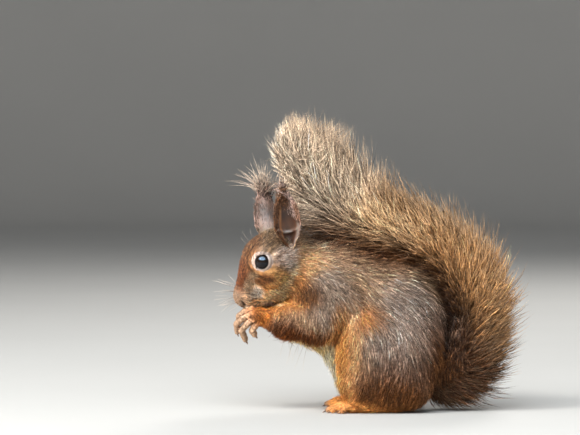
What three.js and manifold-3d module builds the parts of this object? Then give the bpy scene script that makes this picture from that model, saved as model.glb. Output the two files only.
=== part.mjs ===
// Red squirrel (Sciurus vulgaris), a life-size still model. It sits up on its hind feet with both hands at
// its mouth, its head turned a little to its left, and its tail laid up along its back.
// Millimetres, +Z up, nose towards -X, the animal's left side towards -Y, soles and tail root on Z = 0.
// Every outline is that of the coat, out to the tips of the fur.
import * as THREE from "three";
import { mergeVertices } from "three/addons/utils/BufferGeometryUtils.js";
import Module from "manifold-3d";

const wasm = await Module();
wasm.setup();

const at = (x, y, z) => new THREE.Vector3(x, y, z);
const degrees = THREE.MathUtils.degToRad;

// ---- Driving dimensions ----
const GAP = 0.35; // between two parts that meet at a plane or a plain form
const SEAM_GAP = 0.8; // between two parts whose seam follows the body
const HEAD_TURN = degrees(20); // to the animal's left, about the nape
const HEAD_PITCH = degrees(36); // nose below the level
const CRANIUM = at(23, 17, 21); // half length, half width, half height
const MUZZLE_RADIUS = 7.6;
const EYE_RADIUS = 5;
const EYE_OPENING = 4.25; // radius of the part of the ball that shows between the lids
const EAR_LENGTH = 47; // with its tuft
const EAR_THICKNESS = 1.6;
const TRUNK_HALF_WIDTH = 29;
const HAUNCH = at(33, 16, 34); // half length, half thickness, half height
const HAUNCH_OFFSET = 19; // of each thigh from the middle plane
const FOOT_LENGTH = 54;
const FOOT_OFFSET = 19;
const TOE_RADIUS = 2.05;
const TOE_SHARES = [0.2, 0.31, 0.34, 0.31, 0.22]; // of the foot's length, from the outer toe to the inner
const HANDS_MIDDLE = -8; // the hands meet under the turned mouth
const FINGER_RADII = [1.75, 1.85, 1.9, 1.75]; // from the first finger down
const FINGER_CLAW = 2.6;
const TOE_CLAW = 2.4;
const TAIL_HALF_WIDTH = 27;
const TAIL_LEAN = 0.2; // how much narrower the brush is beside the back, and wider outside

// Facet sizes: finest on the head, coarse on the trunk and on the seams, which lie inside.
const HEAD_STEP = 4.2;
const ARM_STEP = 7;
const BODY_STEP = 10.2;
const SEAM_STEP = 10;

const SIDES = [-1, 1]; // the animal's left and right, by the sign of Y
const SIDE_NAMES = ["left", "right"];

// ---- Landmarks, in the middle plane unless a Y is given ----
const NAPE = at(-47, 0, 92); // the head turns about the vertical line through it
const CHEST = at(-31, 0, 71);
const BACK = at(4, 0, 57);
const RUMP = at(20, 0, 32);
const BELLY = at(-11.5, 0, 41);
const HAUNCH_MIDDLE = at(8.5, 0, 37.5);
const KNEE = at(-7, 0, 50);
const SHOULDER = at(-26, 17, 73);
const ELBOW = at(-36, 21, 55);
const WRIST = at(-69, 7.5, 58.4);
const HEEL_X = 17;

// ---- Fields: negative inside, in millimetres ----

// An ellipsoid; pitch turns its X axis nose-down about Y.
function mass(centre, half, pitch = 0) {
  const c = Math.cos(pitch);
  const s = Math.sin(pitch);
  return (x, y, z) => {
    const dx = x - centre.x;
    const dy = y - centre.y;
    const dz = z - centre.z;
    const u = (dx * c + dz * s) / half.x;
    const v = dy / half.y;
    const w = (dz * c - dx * s) / half.z;
    const k = Math.hypot(u, v, w);
    const slope = Math.hypot(u / half.x, v / half.y, w / half.z);
    return k < 1e-6 ? -Math.min(half.x, half.y, half.z) : (k * (k - 1)) / slope;
  };
}

// A limb that tapers from radius r0 at a to r1 at b; flat below 1 makes it narrower across the body.
function limb(a, r0, b, r1, flat = 1) {
  const axis = b.clone().sub(a);
  const span = axis.lengthSq();
  return (x, y, z) => {
    const dx = x - a.x;
    const dy = y - a.y;
    const dz = z - a.z;
    const t = THREE.MathUtils.clamp((dx * axis.x + dy * axis.y + dz * axis.z) / span, 0, 1);
    const across = (dy - t * axis.y) / flat;
    return Math.hypot(dx - t * axis.x, across, dz - t * axis.z) - THREE.MathUtils.lerp(r0, r1, t);
  };
}

// Several fields melted into one, with fillets of about the given size.
const melt = (fillet, ...fields) => (x, y, z) =>
  fields.reduce((d, field) => {
    const e = field(x, y, z);
    const h = Math.max(fillet - Math.abs(d - e), 0) / fillet;
    return Math.min(d, e) - (h * h * fillet) / 4;
  }, Infinity);

// The same field, turned about the vertical line through the nape with the head.
const turned = (field) => (x, y, z) => {
  const c = Math.cos(HEAD_TURN);
  const s = Math.sin(HEAD_TURN);
  const dx = x - NAPE.x;
  return field(NAPE.x + dx * c + y * s, y * c - dx * s, z);
};

const grown = (field, by) => (x, y, z) => field(x, y, z) - by;
const mirrored = (v, side) => at(v.x, v.y * side, v.z);
const fromNape = (x, y, z) => at(NAPE.x + x, y, NAPE.z + z);

// Where a point of the unturned head comes to lie.
const onHead = (p) => p.clone().sub(NAPE).applyAxisAngle(at(0, 0, 1), HEAD_TURN).add(NAPE);

// ---- Solids ----

function solidOf(positions, triangles) {
  const mesh = new wasm.Mesh({
    numProp: 3,
    vertProperties: Float32Array.from(positions),
    triVerts: Uint32Array.from(triangles),
  });
  return new wasm.Manifold(mesh);
}

// The closed surface of a field inside a box. Each grid cell that the surface crosses gets one vertex, which
// is slid along the field's slope on to the surface, and each crossed grid edge gets one four-sided face.
function surface(field, low, high, step) {
  const n = ["x", "y", "z"].map((k) => Math.ceil((high[k] - low[k]) / step) + 1);
  const start = low.toArray();
  const stride = [1, n[0], n[0] * n[1]];
  const value = new Float32Array(n[0] * n[1] * n[2]).fill(1);
  for (let k = 1; k < n[2] - 1; k++)
    for (let j = 1; j < n[1] - 1; j++)
      for (let i = 1; i < n[0] - 1; i++)
        value[i + j * stride[1] + k * stride[2]] = field(
          start[0] + i * step,
          start[1] + j * step,
          start[2] + k * step,
        );

  const corners = [0, 1, 2, 3, 4, 5, 6, 7].map((c) => [c & 1, (c >> 1) & 1, c >> 2]);
  const edges = [];
  for (let a = 0; a < 8; a++)
    for (let axis = 0; axis < 3; axis++) if (!corners[a][axis]) edges.push([a, a | (1 << axis)]);

  const positions = [];
  const vertexOf = new Map();
  const point = new THREE.Vector3();
  const slope = new THREE.Vector3();
  const nudge = 0.05;
  for (let k = 0; k < n[2] - 1; k++)
    for (let j = 0; j < n[1] - 1; j++)
      for (let i = 0; i < n[0] - 1; i++) {
        const cell = i + j * stride[1] + k * stride[2];
        const v = corners.map((c) => value[cell + c[0] * stride[0] + c[1] * stride[1] + c[2] * stride[2]]);
        let crossings = 0;
        point.set(0, 0, 0);
        for (const [a, b] of edges) {
          if (v[a] < 0 === v[b] < 0) continue;
          const t = v[a] / (v[a] - v[b]);
          point.x += corners[a][0] + t * (corners[b][0] - corners[a][0]);
          point.y += corners[a][1] + t * (corners[b][1] - corners[a][1]);
          point.z += corners[a][2] + t * (corners[b][2] - corners[a][2]);
          crossings++;
        }
        if (!crossings) continue;
        point.divideScalar(crossings).add(at(i, j, k)).multiplyScalar(step).add(low);
        for (let pass = 0; pass < 2; pass++) {
          const { x, y, z } = point;
          const d = field(x, y, z);
          slope.set(
            (field(x + nudge, y, z) - d) / nudge,
            (field(x, y + nudge, z) - d) / nudge,
            (field(x, y, z + nudge) - d) / nudge,
          );
          const move = THREE.MathUtils.clamp(d / Math.max(slope.lengthSq(), 0.2), -step / 3, step / 3);
          point.addScaledVector(slope, -move);
        }
        vertexOf.set(cell, positions.length / 3);
        positions.push(point.x, point.y, point.z);
      }

  const triangles = [];
  const corner = (index) => at(...positions.slice(3 * index, 3 * index + 3));
  for (let k = 0; k < n[2] - 1; k++)
    for (let j = 0; j < n[1] - 1; j++)
      for (let i = 0; i < n[0] - 1; i++)
        for (let axis = 0; axis < 3; axis++) {
          const here = i + j * stride[1] + k * stride[2];
          const inside = value[here] < 0;
          if (inside === value[here + stride[axis]] < 0) continue;
          const p = stride[(axis + 1) % 3];
          const q = stride[(axis + 2) % 3];
          const quad = [here, here - p, here - p - q, here - q].map((cell) => vertexOf.get(cell));
          if (!inside) quad.reverse();
          const [a, b, c, d] = quad.map(corner);
          if (a.distanceTo(c) < b.distanceTo(d))
            triangles.push(quad[0], quad[1], quad[2], quad[0], quad[2], quad[3]);
          else triangles.push(quad[1], quad[2], quad[3], quad[1], quad[3], quad[0]);
        }
  return solidOf(positions, triangles);
}

// The same, with its faces turned outwards if they point in.
function outward(positions, triangles) {
  const made = solidOf(positions, triangles);
  if (made.volume() > 0) return made;
  for (let i = 0; i < triangles.length; i += 3)
    [triangles[i], triangles[i + 1]] = [triangles[i + 1], triangles[i]];
  return solidOf(positions, triangles);
}

// A three.js geometry as a solid.
function solidFrom(geometry) {
  const bare = geometry.clone();
  bare.deleteAttribute("normal");
  bare.deleteAttribute("uv");
  const merged = mergeVertices(bare, 1e-4);
  return outward(merged.attributes.position.array, merged.index.array);
}

// A closed form along a curve, from a unit sphere whose poles become the curve's ends. section(t) gives the
// half width (along side) and half depth there; the ends are rounded where section(t) narrows to nothing.
// lean narrows the form on one edge of its depth and widens it on the other.
function formAlong(curve, section, side, around, along, lean = 0) {
  const geometry = new THREE.SphereGeometry(1, around, along);
  const place = geometry.attributes.position;
  const p = new THREE.Vector3();
  for (let i = 0; i < place.count; i++) {
    p.fromBufferAttribute(place, i);
    const t = 1 - Math.acos(THREE.MathUtils.clamp(p.y, -1, 1)) / Math.PI;
    const ring = Math.hypot(p.x, p.z);
    const direction = curve.getTangent(t);
    const across = side.clone().addScaledVector(direction, -side.dot(direction)).normalize();
    const depth = direction.clone().cross(across);
    const [width, thickness] = section(t);
    const u = ring < 1e-6 ? 0 : p.x / ring;
    const v = ring < 1e-6 ? 0 : p.z / ring;
    const middle = curve.getPoint(t);
    middle.addScaledVector(across, u * width * (1 - lean * v)).addScaledVector(depth, v * thickness);
    place.setXYZ(i, middle.x, middle.y, middle.z);
  }
  return solidFrom(geometry);
}

// Joins solids into one.
const joined = (solids) => solids.reduce((all, one) => all.add(one));

// How much of its full section a form keeps at t along its length, with ends that are blunter the higher the
// power.
const bluntEnds = (t, power) => Math.sqrt(Math.max(0, 1 - Math.abs(2 * t - 1) ** power));

// Reads a list of [t, value] rows as a smooth function of t.
function profile(rows) {
  return (t) => {
    let i = 0;
    while (i < rows.length - 2 && rows[i + 1][0] < t) i++;
    const [t0, from] = rows[i];
    const [t1, to] = rows[i + 1];
    const straight = THREE.MathUtils.clamp((t - t0) / (t1 - t0), 0, 1);
    const eased = THREE.MathUtils.smoothstep(t, t0, t1);
    return THREE.MathUtils.lerp(from, to, (straight + eased) / 2);
  };
}

// ---- Head ----

const SNOUT_BASE = fromNape(-26, 0, -8);
const SNOUT_TIP = fromNape(-34.6, 0, -18.5);
const NOSE = fromNape(-38, 0, -21.8);
const CHIN = fromNape(-30.5, 0, -24);
const EYE = fromNape(-27.9, 0, 0.7); // how deep the eye sits gives its Y

// The head before it is turned: skull, snout, forehead, jaw and nose, then the cheeks, whisker pads and brows.

function headForm() {
  const middle = melt(
    6,
    mass(fromNape(-14.5, 0, 0), CRANIUM, HEAD_PITCH),
    limb(SNOUT_BASE, 13, SNOUT_TIP, MUZZLE_RADIUS, 0.86),
    limb(fromNape(-26, 0, 3.5), 10, fromNape(-33.6, 0, -13), 6.2, 0.8),
    limb(fromNape(-12, 0, -12), 13, CHIN, 4.6, 0.85),
    mass(NOSE, at(3.3, 3.4, 4), HEAD_PITCH),
  );
  const sides = SIDES.flatMap((side) => [
    mass(fromNape(-19, 9 * side, -13), at(11, 8, 11), HEAD_PITCH),
    mass(fromNape(-33, 4.2 * side, -20.5), at(5.2, 4.6, 5.2), HEAD_PITCH),
    mass(fromNape(-27, 9.4 * side, 7.5), at(7.5, 5, 4), HEAD_PITCH),
  ]);
  return melt(4, middle, ...sides);
}

// ---- The other masses ----

function neckField() {
  return melt(
    8,
    limb(fromNape(-6, 0, -2), 18.5, CHEST, 23, 0.86),
    limb(fromNape(-2, 0, 2), 15, at(-18, 0, 79), 24, 0.9),
    limb(fromNape(-8, -1, -12), 14, at(-40, 0, 68), 16, 0.9),
  );
}

function trunkField() {
  return melt(
    10,
    mass(CHEST, at(27, 24, 28)),
    limb(at(-20, 0, 78.5), 26, at(6, 0, 63.5), 31, 0.85),
    limb(at(-49, -2, 52.5), 10.5, at(-29, 0, 51.5), 18, 0.95),
    mass(BACK, at(40.5, TRUNK_HALF_WIDTH, 39.5)),
    limb(BELLY, 19, RUMP, 24.5, 0.95),
    limb(BELLY, 17, at(-13.5, 0, 21), 13, 0.95),
  );
}

// The folded thigh and shank, seen as one rounded haunch with the knee in front.
function haunchField(side) {
  const middle = mirrored(at(HAUNCH_MIDDLE.x, HAUNCH_OFFSET, HAUNCH_MIDDLE.z), side);
  return melt(
    10,
    mass(middle, HAUNCH, degrees(-6)),
    limb(at(KNEE.x, 24 * side, KNEE.z), 13.5, at(-10, 23 * side, 20), 12.5, 0.85),
    limb(at(-7, 22 * side, 17), 12, at(20, 20 * side, 15), 13, 0.9),
  );
}

function upperArmField(side) {
  return melt(
    9,
    limb(mirrored(SHOULDER, side), 17, mirrored(ELBOW, side), 11.5, 0.72),
    limb(at(-20, 18 * side, 61), 14, mirrored(ELBOW, side), 10.5, 0.7),
  );
}

function forearmField(side) {
  const wrist = wristOf(side);
  const middle = at(-54, 16 * side + HANDS_MIDDLE * 0.35, 56);
  return melt(
    4,
    limb(mirrored(ELBOW, side), 11.5, middle, 11, 0.76),
    limb(middle, 11, wrist, 6, 0.76),
  );
}

const wristOf = (side) => at(WRIST.x, HANDS_MIDDLE + WRIST.y * side, WRIST.z);

const headUnturned = headForm();
const head = turned(headUnturned);
const neck = neckField();
const trunk = trunkField();
const haunches = SIDES.map(haunchField);
const arms = SIDES.map((side) => melt(6, upperArmField(side), forearmField(side)));
const torso = melt(9, trunk, neck);
const torsoAndArms = melt(5, torso, ...arms);
const torsoAndHead = melt(6, torso, head);
const body = melt(4, melt(5, torsoAndHead, ...arms), ...haunches);

// ---- Cutters ----

// A plane cut; its normal points ahead. Each half stops half a gap short of the plane.
const cutAt = (point, normal) => ({ point, normal: normal.normalize() });
const ahead = (solid, { point, normal }) => solid.trimByPlane(normal.toArray(), normal.dot(point) + GAP / 2);
const behind = (solid, { point, normal }) =>
  solid.trimByPlane(normal.clone().negate().toArray(), GAP / 2 - normal.dot(point));
const aboveFloor = (solid) => solid.trimByPlane([0, 0, 1], 0);

const HEAD_CUT = cutAt(at(-49.5, 0, 88), at(-0.92, -0.17, 0.36));
const NECK_CUT = cutAt(at(-36, 0, 85), at(-0.93, 0, 0.37));
const ELBOW_CUT = cutAt(at(-43, 0, 54), at(-1, 0, 0.25));
const TAIL_ROOT_CUT = cutAt(at(62, 0, 40), at(0.5, 0, -0.87));
const TAIL_TIP_CUT = cutAt(at(-2, 0, 124), at(-0.85, 0, 0.5));
const wristCut = (side) => cutAt(wristOf(side), at(-1, 0, 0));

// Inside where one field is nearer than another: the border between them is a seam that follows the form.
const nearer = (field, other) => (x, y, z) => (field(x, y, z) - other(x, y, z)) / 2;

// ---- Tail ----

// The middle of the brush, from the rump round behind the back and over it, with its half depth there.
const TAIL = [
  [at(30, 0, 14), 9],
  [at(46, 0, 14.5), 17],
  [at(60, 0, 23.5), 22.5],
  [at(65, 0, 42), 21],
  [at(67.5, 0, 62), 22],
  [at(62, 0, 83.5), 24.5],
  [at(45.5, 0, 102), 23],
  [at(23, 0, 114), 22],
  [at(0, 0, 122), 25],
  [at(-16.5, 0, 133), 30],
  [at(-30, 0, 148.5), 33.5],
  [at(-45, 0, 163), 31],
  [at(-62.5, 0, 182), 25],
];

// The hairs fan out from the bone, which lies along the edge nearest the back, so the brush is wider outside.
function tailSolid() {
  const curve = new THREE.CatmullRomCurve3(TAIL.map(([p]) => p), false, "centripetal");
  const steps = TAIL.length - 1;
  const depth = profile(TAIL.map(([, half], i) => [i / steps, half]));
  const section = (t) => {
    const ends = bluntEnds(t, 12);
    const width = TAIL_HALF_WIDTH * THREE.MathUtils.lerp(0.55, 1, THREE.MathUtils.smoothstep(t, 0, 0.4));
    return [width * ends, depth(t) * ends];
  };
  return formAlong(curve, section, at(0, 1, 0), 13, 22, TAIL_LEAN);
}

// ---- Ears ----

// A cupped leaf with its tuft: for each height s up the ear and each place q from its front edge to its back
// edge, a point on an arc that opens sideways. Two such sheets, a thickness apart, close at the rim. by grows
// the leaf on every side.
function earSolid(side, by) {
  const base = fromNape(-11, 12.5 * side, 12);
  const up = at(-0.16, 0.2 * side, 1).normalize();
  const back = at(0.2, -side, 0).normalize(); // away from the opening
  const across = up.clone().cross(back).multiplyScalar(side).normalize();
  back.crossVectors(across, up).multiplyScalar(side);
  const halfWidth = profile([[0, 5], [0.18, 7.4], [0.45, 8.8], [0.72, 6.4], [0.9, 3.4], [1, 1]]);
  const wrap = profile([[0, 2.1], [0.3, 1.6], [0.7, 1.1], [1, 0.7]]);
  const forward = 4.5; // the leaf's top lies this far ahead of its foot
  const rows = 8;
  const columns = 6;
  const positions = [];
  const triangles = [];
  const index = (layer, i, j) => (layer * (rows + 1) + i) * (columns + 1) + j;
  for (let layer = 0; layer < 2; layer++)
    for (let i = 0; i <= rows; i++)
      for (let j = 0; j <= columns; j++) {
        const s = i / rows;
        const q = (2 * j) / columns - 1;
        const angle = wrap(s);
        const bend = Math.sin(Math.min(angle, Math.PI / 2));
        const radius = halfWidth(s) / bend;
        const rim = Math.sqrt(Math.max(0.12, 1 - q * q)) * Math.sqrt(Math.max(0.2, 1 - s ** 6));
        const r = radius + (layer - 0.5) * (EAR_THICKNESS * rim + 2 * by);
        const p = base
          .clone()
          .addScaledVector(up, (s - 0.12) * (EAR_LENGTH + by) * (1 - 0.1 * q * q * s))
          .addScaledVector(across, (r + by) * Math.sin(q * angle) - forward * s * s)
          .addScaledVector(back, r * Math.cos(q * angle) - radius * Math.cos(angle * 0.5));
        positions.push(...onHead(p).toArray());
      }
  const face = (a, b, c, d) => triangles.push(a, b, c, a, c, d);
  for (let i = 0; i < rows; i++)
    for (let j = 0; j < columns; j++) {
      face(index(1, i, j), index(1, i, j + 1), index(1, i + 1, j + 1), index(1, i + 1, j));
      face(index(0, i, j), index(0, i + 1, j), index(0, i + 1, j + 1), index(0, i, j + 1));
    }
  for (let i = 0; i < rows; i++) {
    face(index(0, i, 0), index(1, i, 0), index(1, i + 1, 0), index(0, i + 1, 0));
    face(index(0, i, columns), index(0, i + 1, columns), index(1, i + 1, columns), index(1, i, columns));
  }
  for (let j = 0; j < columns; j++) {
    face(index(0, 0, j), index(0, 0, j + 1), index(1, 0, j + 1), index(1, 0, j));
    face(index(0, rows, j), index(1, rows, j), index(1, rows, j + 1), index(0, rows, j + 1));
  }
  return outward(positions, triangles);
}

// ---- Hands and feet ----

// A finger or toe along a bent line, rounded at both ends, with a pointed claw beyond it.
function digit(points, radius, clawLength) {
  const curve = new THREE.CatmullRomCurve3(points, false, "centripetal");
  const section = (t) => {
    const r = radius * (1 - 0.22 * t) * bluntEnds(t, 8);
    return [r, r];
  };
  const flesh = formAlong(curve, section, at(0.1, 1, 0.2), 5, 4);
  const direction = curve.getTangent(1);
  const rooted = clawLength + 1.5; // with the part that sits in the flesh
  const claw = new THREE.ConeGeometry(radius * 0.42, rooted, 4);
  claw.applyQuaternion(new THREE.Quaternion().setFromUnitVectors(at(0, 1, 0), direction));
  const middle = curve.getPoint(0.97).addScaledVector(direction, rooted / 2 - 0.8);
  claw.translate(middle.x, middle.y, middle.z);
  return flesh.add(solidFrom(claw));
}

// The hand hangs from the wrist with its back outwards; its four fingers curl in towards the other hand.
function handSolid(side) {
  const wrist = wristOf(side);
  const out = (x, y, z) => at(wrist.x + x, wrist.y + y * side, wrist.z + z);
  const palmLine = new THREE.CatmullRomCurve3([out(3, 0.4, 0.4), out(-4, 0.8, 0.6), out(-10.5, -0.6, -1)]);
  const section = (t) => [(4 + 0.6 * t) * bluntEnds(t, 6), (4.6 + 1.2 * t) * bluntEnds(t, 6)];
  const palm = formAlong(palmLine, section, at(0, 1, 0), 9, 6);
  const fingers = [
    [out(-7, 0, 4.4), out(-12, -1.2, 3.2), out(-15.6, -3.4, 0.4), out(-16, -5.4, -2.4)],
    [out(-7.6, 1.4, 1.8), out(-13, 1, -0.6), out(-17, -1, -4.6), out(-16.6, -3.6, -9.4)],
    [out(-6.6, 2.2, -0.8), out(-10.6, 2.2, -4.4), out(-14, 0.6, -8.4), out(-11.6, -2, -14)],
    [out(-3.4, 2, -2.8), out(-5.6, 2, -6), out(-7.4, 0.6, -9), out(-5.6, -1.6, -13)],
  ];
  return joined([palm, ...fingers.map((line, i) => digit(line, FINGER_RADII[i], FINGER_CLAW))]);
}

// A long flat sole from heel to toes, five spread toes and their claws, all resting on the floor.
function footSolid(side) {
  const y = FOOT_OFFSET * side;
  const ball = HEEL_X - FOOT_LENGTH * 0.66;
  const line = new THREE.CatmullRomCurve3([
    at(HEEL_X, y, 4.6),
    at(HEEL_X - FOOT_LENGTH * 0.33, y + 0.4 * side, 4.4),
    at(ball, y + 1.2 * side, 3.6),
  ]);
  const section = (t) => [(4.6 + 2.4 * t) * bluntEnds(t, 6), (5.2 - 0.9 * t) * bluntEnds(t, 6)];
  const sole = formAlong(line, section, at(0, 1, 0), 10, 6);
  const toes = TOE_SHARES.map((share, i) => {
    const spread = (i - 2) * side;
    const length = share * FOOT_LENGTH - 4;
    const root = at(ball + 3.2 + Math.abs(i - 2) * 0.9, y + 1.2 * side + spread * 2.7, 3.2);
    const reach = at(-1, spread * 0.16, 0).normalize();
    const knuckle = root.clone().addScaledVector(reach, length * 0.55).add(at(0, 0, 1.2));
    const tip = root.clone().addScaledVector(reach, length).setZ(1.7);
    return digit([root, knuckle, tip], TOE_RADIUS, TOE_CLAW);
  });
  return aboveFloor(joined([sole, ...toes]));
}

// What the haunch leaves clear for the foot beneath it.
function footRoom(side) {
  const heel = at(HEEL_X, FOOT_OFFSET * side, 4.4);
  const toes = at(HEEL_X - FOOT_LENGTH * 0.75, (FOOT_OFFSET + 1.4) * side, 3.4);
  const low = at(-42, FOOT_OFFSET * side - 16, -12);
  const high = at(32, FOOT_OFFSET * side + 16, 20);
  return surface(limb(heel, 6, toes, 8.2), low, high, 4);
}

// ---- Assembly ----

const COLOURS = {
  coat: { color: 0xa9713f, roughness: 0.9 },
  flank: { color: 0x9c8268, roughness: 0.9 },
  brush: { color: 0x9a6a40, roughness: 0.95 },
  ear: { color: 0x8d7468, roughness: 0.9 },
  paw: { color: 0xc9855a, roughness: 0.85 },
  eye: { color: 0x0b0806, roughness: 0.05 },
};

const squirrel = new THREE.Group();

function add(name, solid, look) {
  const { vertProperties, triVerts } = solid.getMesh();
  const geometry = new THREE.BufferGeometry();
  geometry.setAttribute("position", new THREE.BufferAttribute(vertProperties, 3));
  geometry.setIndex(new THREE.BufferAttribute(triVerts, 1));
  geometry.computeVertexNormals();
  const mesh = new THREE.Mesh(geometry, new THREE.MeshStandardMaterial(COLOURS[look]));
  mesh.name = name;
  squirrel.add(mesh);
}

// Keeps the largest body of a solid, without the crumbs that a cut can leave.
function largest(solid) {
  return solid.decompose().reduce((best, one) => (one.volume() > best.volume() ? one : best));
}

// How far to one side of the middle a field is the given depth deep.
function sidewaysTo(field, point, side, depth) {
  let inner = 0;
  let outer = 40;
  while (outer - inner > 0.01) {
    const middle = (inner + outer) / 2;
    if (field(point.x, middle * side, point.z) < -depth) inner = middle;
    else outer = middle;
  }
  return at(point.x, inner * side, point.z);
}

// An eye ball, sunk so that a circle of the opening's radius stands out of the head.
function eyeBall(side, radius) {
  const depth = Math.sqrt(EYE_RADIUS ** 2 - EYE_OPENING ** 2);
  const p = onHead(sidewaysTo(headUnturned, EYE, side, depth));
  const ball = new THREE.SphereGeometry(radius, 11, 7);
  ball.translate(p.x, p.y, p.z);
  return solidFrom(ball);
}

// Boxes that hold each mass. The first of a pair of corners is the lowest.
const headBox = [at(-96, -36, 50), at(-28, 36, 124)];
const trunkBox = [at(-76, -46, -8), at(58, 46, 120)];
const armBox = SIDES.map((side) => sideBox(side, at(-84, -18, 30), at(8, 48, 98)));
const haunchBox = SIDES.map((side) => sideBox(side, at(-40, -12, -12), at(56, 48, 84)));

function sideBox(side, low, high) {
  return side > 0 ? [low, high] : [at(low.x, -high.y, low.z), at(high.x, -low.y, high.z)];
}

// The room that each limb takes out of the trunk, and the skull with a gap round it.
const armSeams = arms.map((arm) => nearer(arm, torso));
const haunchSeams = haunches.map((haunch) => nearer(haunch, torsoAndArms));
const armRooms = armSeams.map((seam, i) => surface(grown(seam, SEAM_GAP), ...armBox[i], SEAM_STEP));
const haunchRooms = haunchSeams.map((seam, i) => surface(grown(seam, SEAM_GAP), ...haunchBox[i], SEAM_STEP));
const skull = ahead(surface(grown(torsoAndHead, GAP), ...headBox, HEAD_STEP), HEAD_CUT);

const sockets = joined(SIDES.map((side) => eyeBall(side, EYE_RADIUS + GAP)));
const headSolid = ahead(surface(torsoAndHead, ...headBox, HEAD_STEP), HEAD_CUT);
add("head", largest(headSolid.subtract(sockets)), "coat");
SIDES.forEach((side, i) => {
  add(`eye_${SIDE_NAMES[i]}`, eyeBall(side, EYE_RADIUS), "eye");
  add(`ear_${SIDE_NAMES[i]}`, largest(earSolid(side, 0).subtract(skull)), "ear");
});

const whole = surface(body, ...trunkBox, BODY_STEP);
const limbless = [...armRooms, ...haunchRooms].reduce((left, room) => left.subtract(room), whole);
const neckAndTrunk = behind(limbless, HEAD_CUT);
add("neck", largest(ahead(neckAndTrunk, NECK_CUT)), "coat");
add("trunk", largest(behind(neckAndTrunk, NECK_CUT)), "flank");

SIDES.forEach((side, i) => {
  const arm = surface(torsoAndArms, ...armBox[i], ARM_STEP)
    .intersect(surface(armSeams[i], ...armBox[i], SEAM_STEP))
    .subtract(haunchRooms[i])
    .subtract(skull);
  const forearm = behind(ahead(arm, ELBOW_CUT), wristCut(side));
  const hand = ahead(handSolid(side), wristCut(side)).subtract(skull);
  add(`upper_arm_${SIDE_NAMES[i]}`, largest(behind(arm, ELBOW_CUT)), "flank");
  add(`forearm_${SIDE_NAMES[i]}`, largest(forearm), "coat");
  add(`hand_${SIDE_NAMES[i]}`, largest(hand), "paw");

  const haunch = surface(body, ...haunchBox[i], BODY_STEP)
    .intersect(surface(haunchSeams[i], ...haunchBox[i], SEAM_STEP))
    .subtract(footRoom(side));
  add(`haunch_${SIDE_NAMES[i]}`, largest(aboveFloor(haunch)), "coat");
  add(`foot_${SIDE_NAMES[i]}`, footSolid(side), "paw");
});

const bodyRoom = surface(grown(body, SEAM_GAP), ...trunkBox, BODY_STEP);
const earRoom = joined(SIDES.map((side) => earSolid(side, GAP)));
const tail = largest(aboveFloor(tailSolid()).subtract(bodyRoom).subtract(skull).subtract(earRoom));
const tailAboveRoot = behind(tail, TAIL_ROOT_CUT);
add("tail_root", largest(ahead(tail, TAIL_ROOT_CUT)), "brush");
add("tail_middle", largest(behind(tailAboveRoot, TAIL_TIP_CUT)), "brush");
add("tail_tip", largest(ahead(tailAboveRoot, TAIL_TIP_CUT)), "brush");

export default squirrel;
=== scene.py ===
"""Red squirrel, a life-size still model: skin, coat, ears, eyes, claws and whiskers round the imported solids.

The forms are worked out in millimetres, nose towards -X, the animal's left side towards -Y and +Z up, and are
written to the meshes in metres.
"""

import functools
import math

import bpy
import numpy as np
from bpy.props import FloatProperty, FloatVectorProperty, IntProperty, PointerProperty
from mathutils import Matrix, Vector


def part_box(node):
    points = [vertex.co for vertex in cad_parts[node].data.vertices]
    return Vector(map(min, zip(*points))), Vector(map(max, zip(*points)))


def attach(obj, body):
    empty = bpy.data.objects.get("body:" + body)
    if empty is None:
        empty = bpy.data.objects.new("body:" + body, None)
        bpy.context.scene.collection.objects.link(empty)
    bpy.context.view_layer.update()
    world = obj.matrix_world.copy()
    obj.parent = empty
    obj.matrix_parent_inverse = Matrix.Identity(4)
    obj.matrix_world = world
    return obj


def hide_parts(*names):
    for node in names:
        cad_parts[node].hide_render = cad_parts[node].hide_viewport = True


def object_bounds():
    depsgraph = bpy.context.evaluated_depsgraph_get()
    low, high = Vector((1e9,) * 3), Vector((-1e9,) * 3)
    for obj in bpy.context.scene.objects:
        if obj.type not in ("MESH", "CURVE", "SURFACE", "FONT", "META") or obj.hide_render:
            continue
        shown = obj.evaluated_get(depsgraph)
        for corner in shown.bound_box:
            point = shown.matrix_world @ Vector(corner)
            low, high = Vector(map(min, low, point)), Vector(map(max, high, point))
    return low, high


bl_info = {
    "name": "Red squirrel model",
    "version": (1, 0, 0),
    "blender": (4, 5, 0),
    "location": "3D View > Sidebar > Squirrel",
    "description": "Builds the skin, coat and fine parts of a red squirrel round its solids",
    "category": "Object",
}

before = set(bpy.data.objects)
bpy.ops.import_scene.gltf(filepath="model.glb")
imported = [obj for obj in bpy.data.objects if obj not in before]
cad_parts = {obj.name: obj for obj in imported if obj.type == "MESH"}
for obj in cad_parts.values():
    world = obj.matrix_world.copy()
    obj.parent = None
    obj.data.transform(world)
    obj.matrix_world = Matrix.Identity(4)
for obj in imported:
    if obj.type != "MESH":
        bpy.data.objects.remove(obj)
CAD_BOX = [list(corner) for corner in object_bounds()]

MM = 0.001
BODY = "root"
SIDES = (-1, 1)  # the animal's left and right, by the sign of Y
SIDE_NAMES = {-1: "left", 1: "right"}
HEAD_TURN = math.radians(20)  # to the animal's left, about the nape
HEAD_PITCH = math.radians(36)  # nose below the level
FLESH = ["head", "neck", "trunk", "tail_root", "tail_middle", "tail_tip"] + [
    f"{part}_{side}"
    for part in ("upper_arm", "forearm", "hand", "haunch", "foot")
    for side in ("left", "right")
]


def at(x, y, z):
    return np.array([x, y, z], float)


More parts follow.
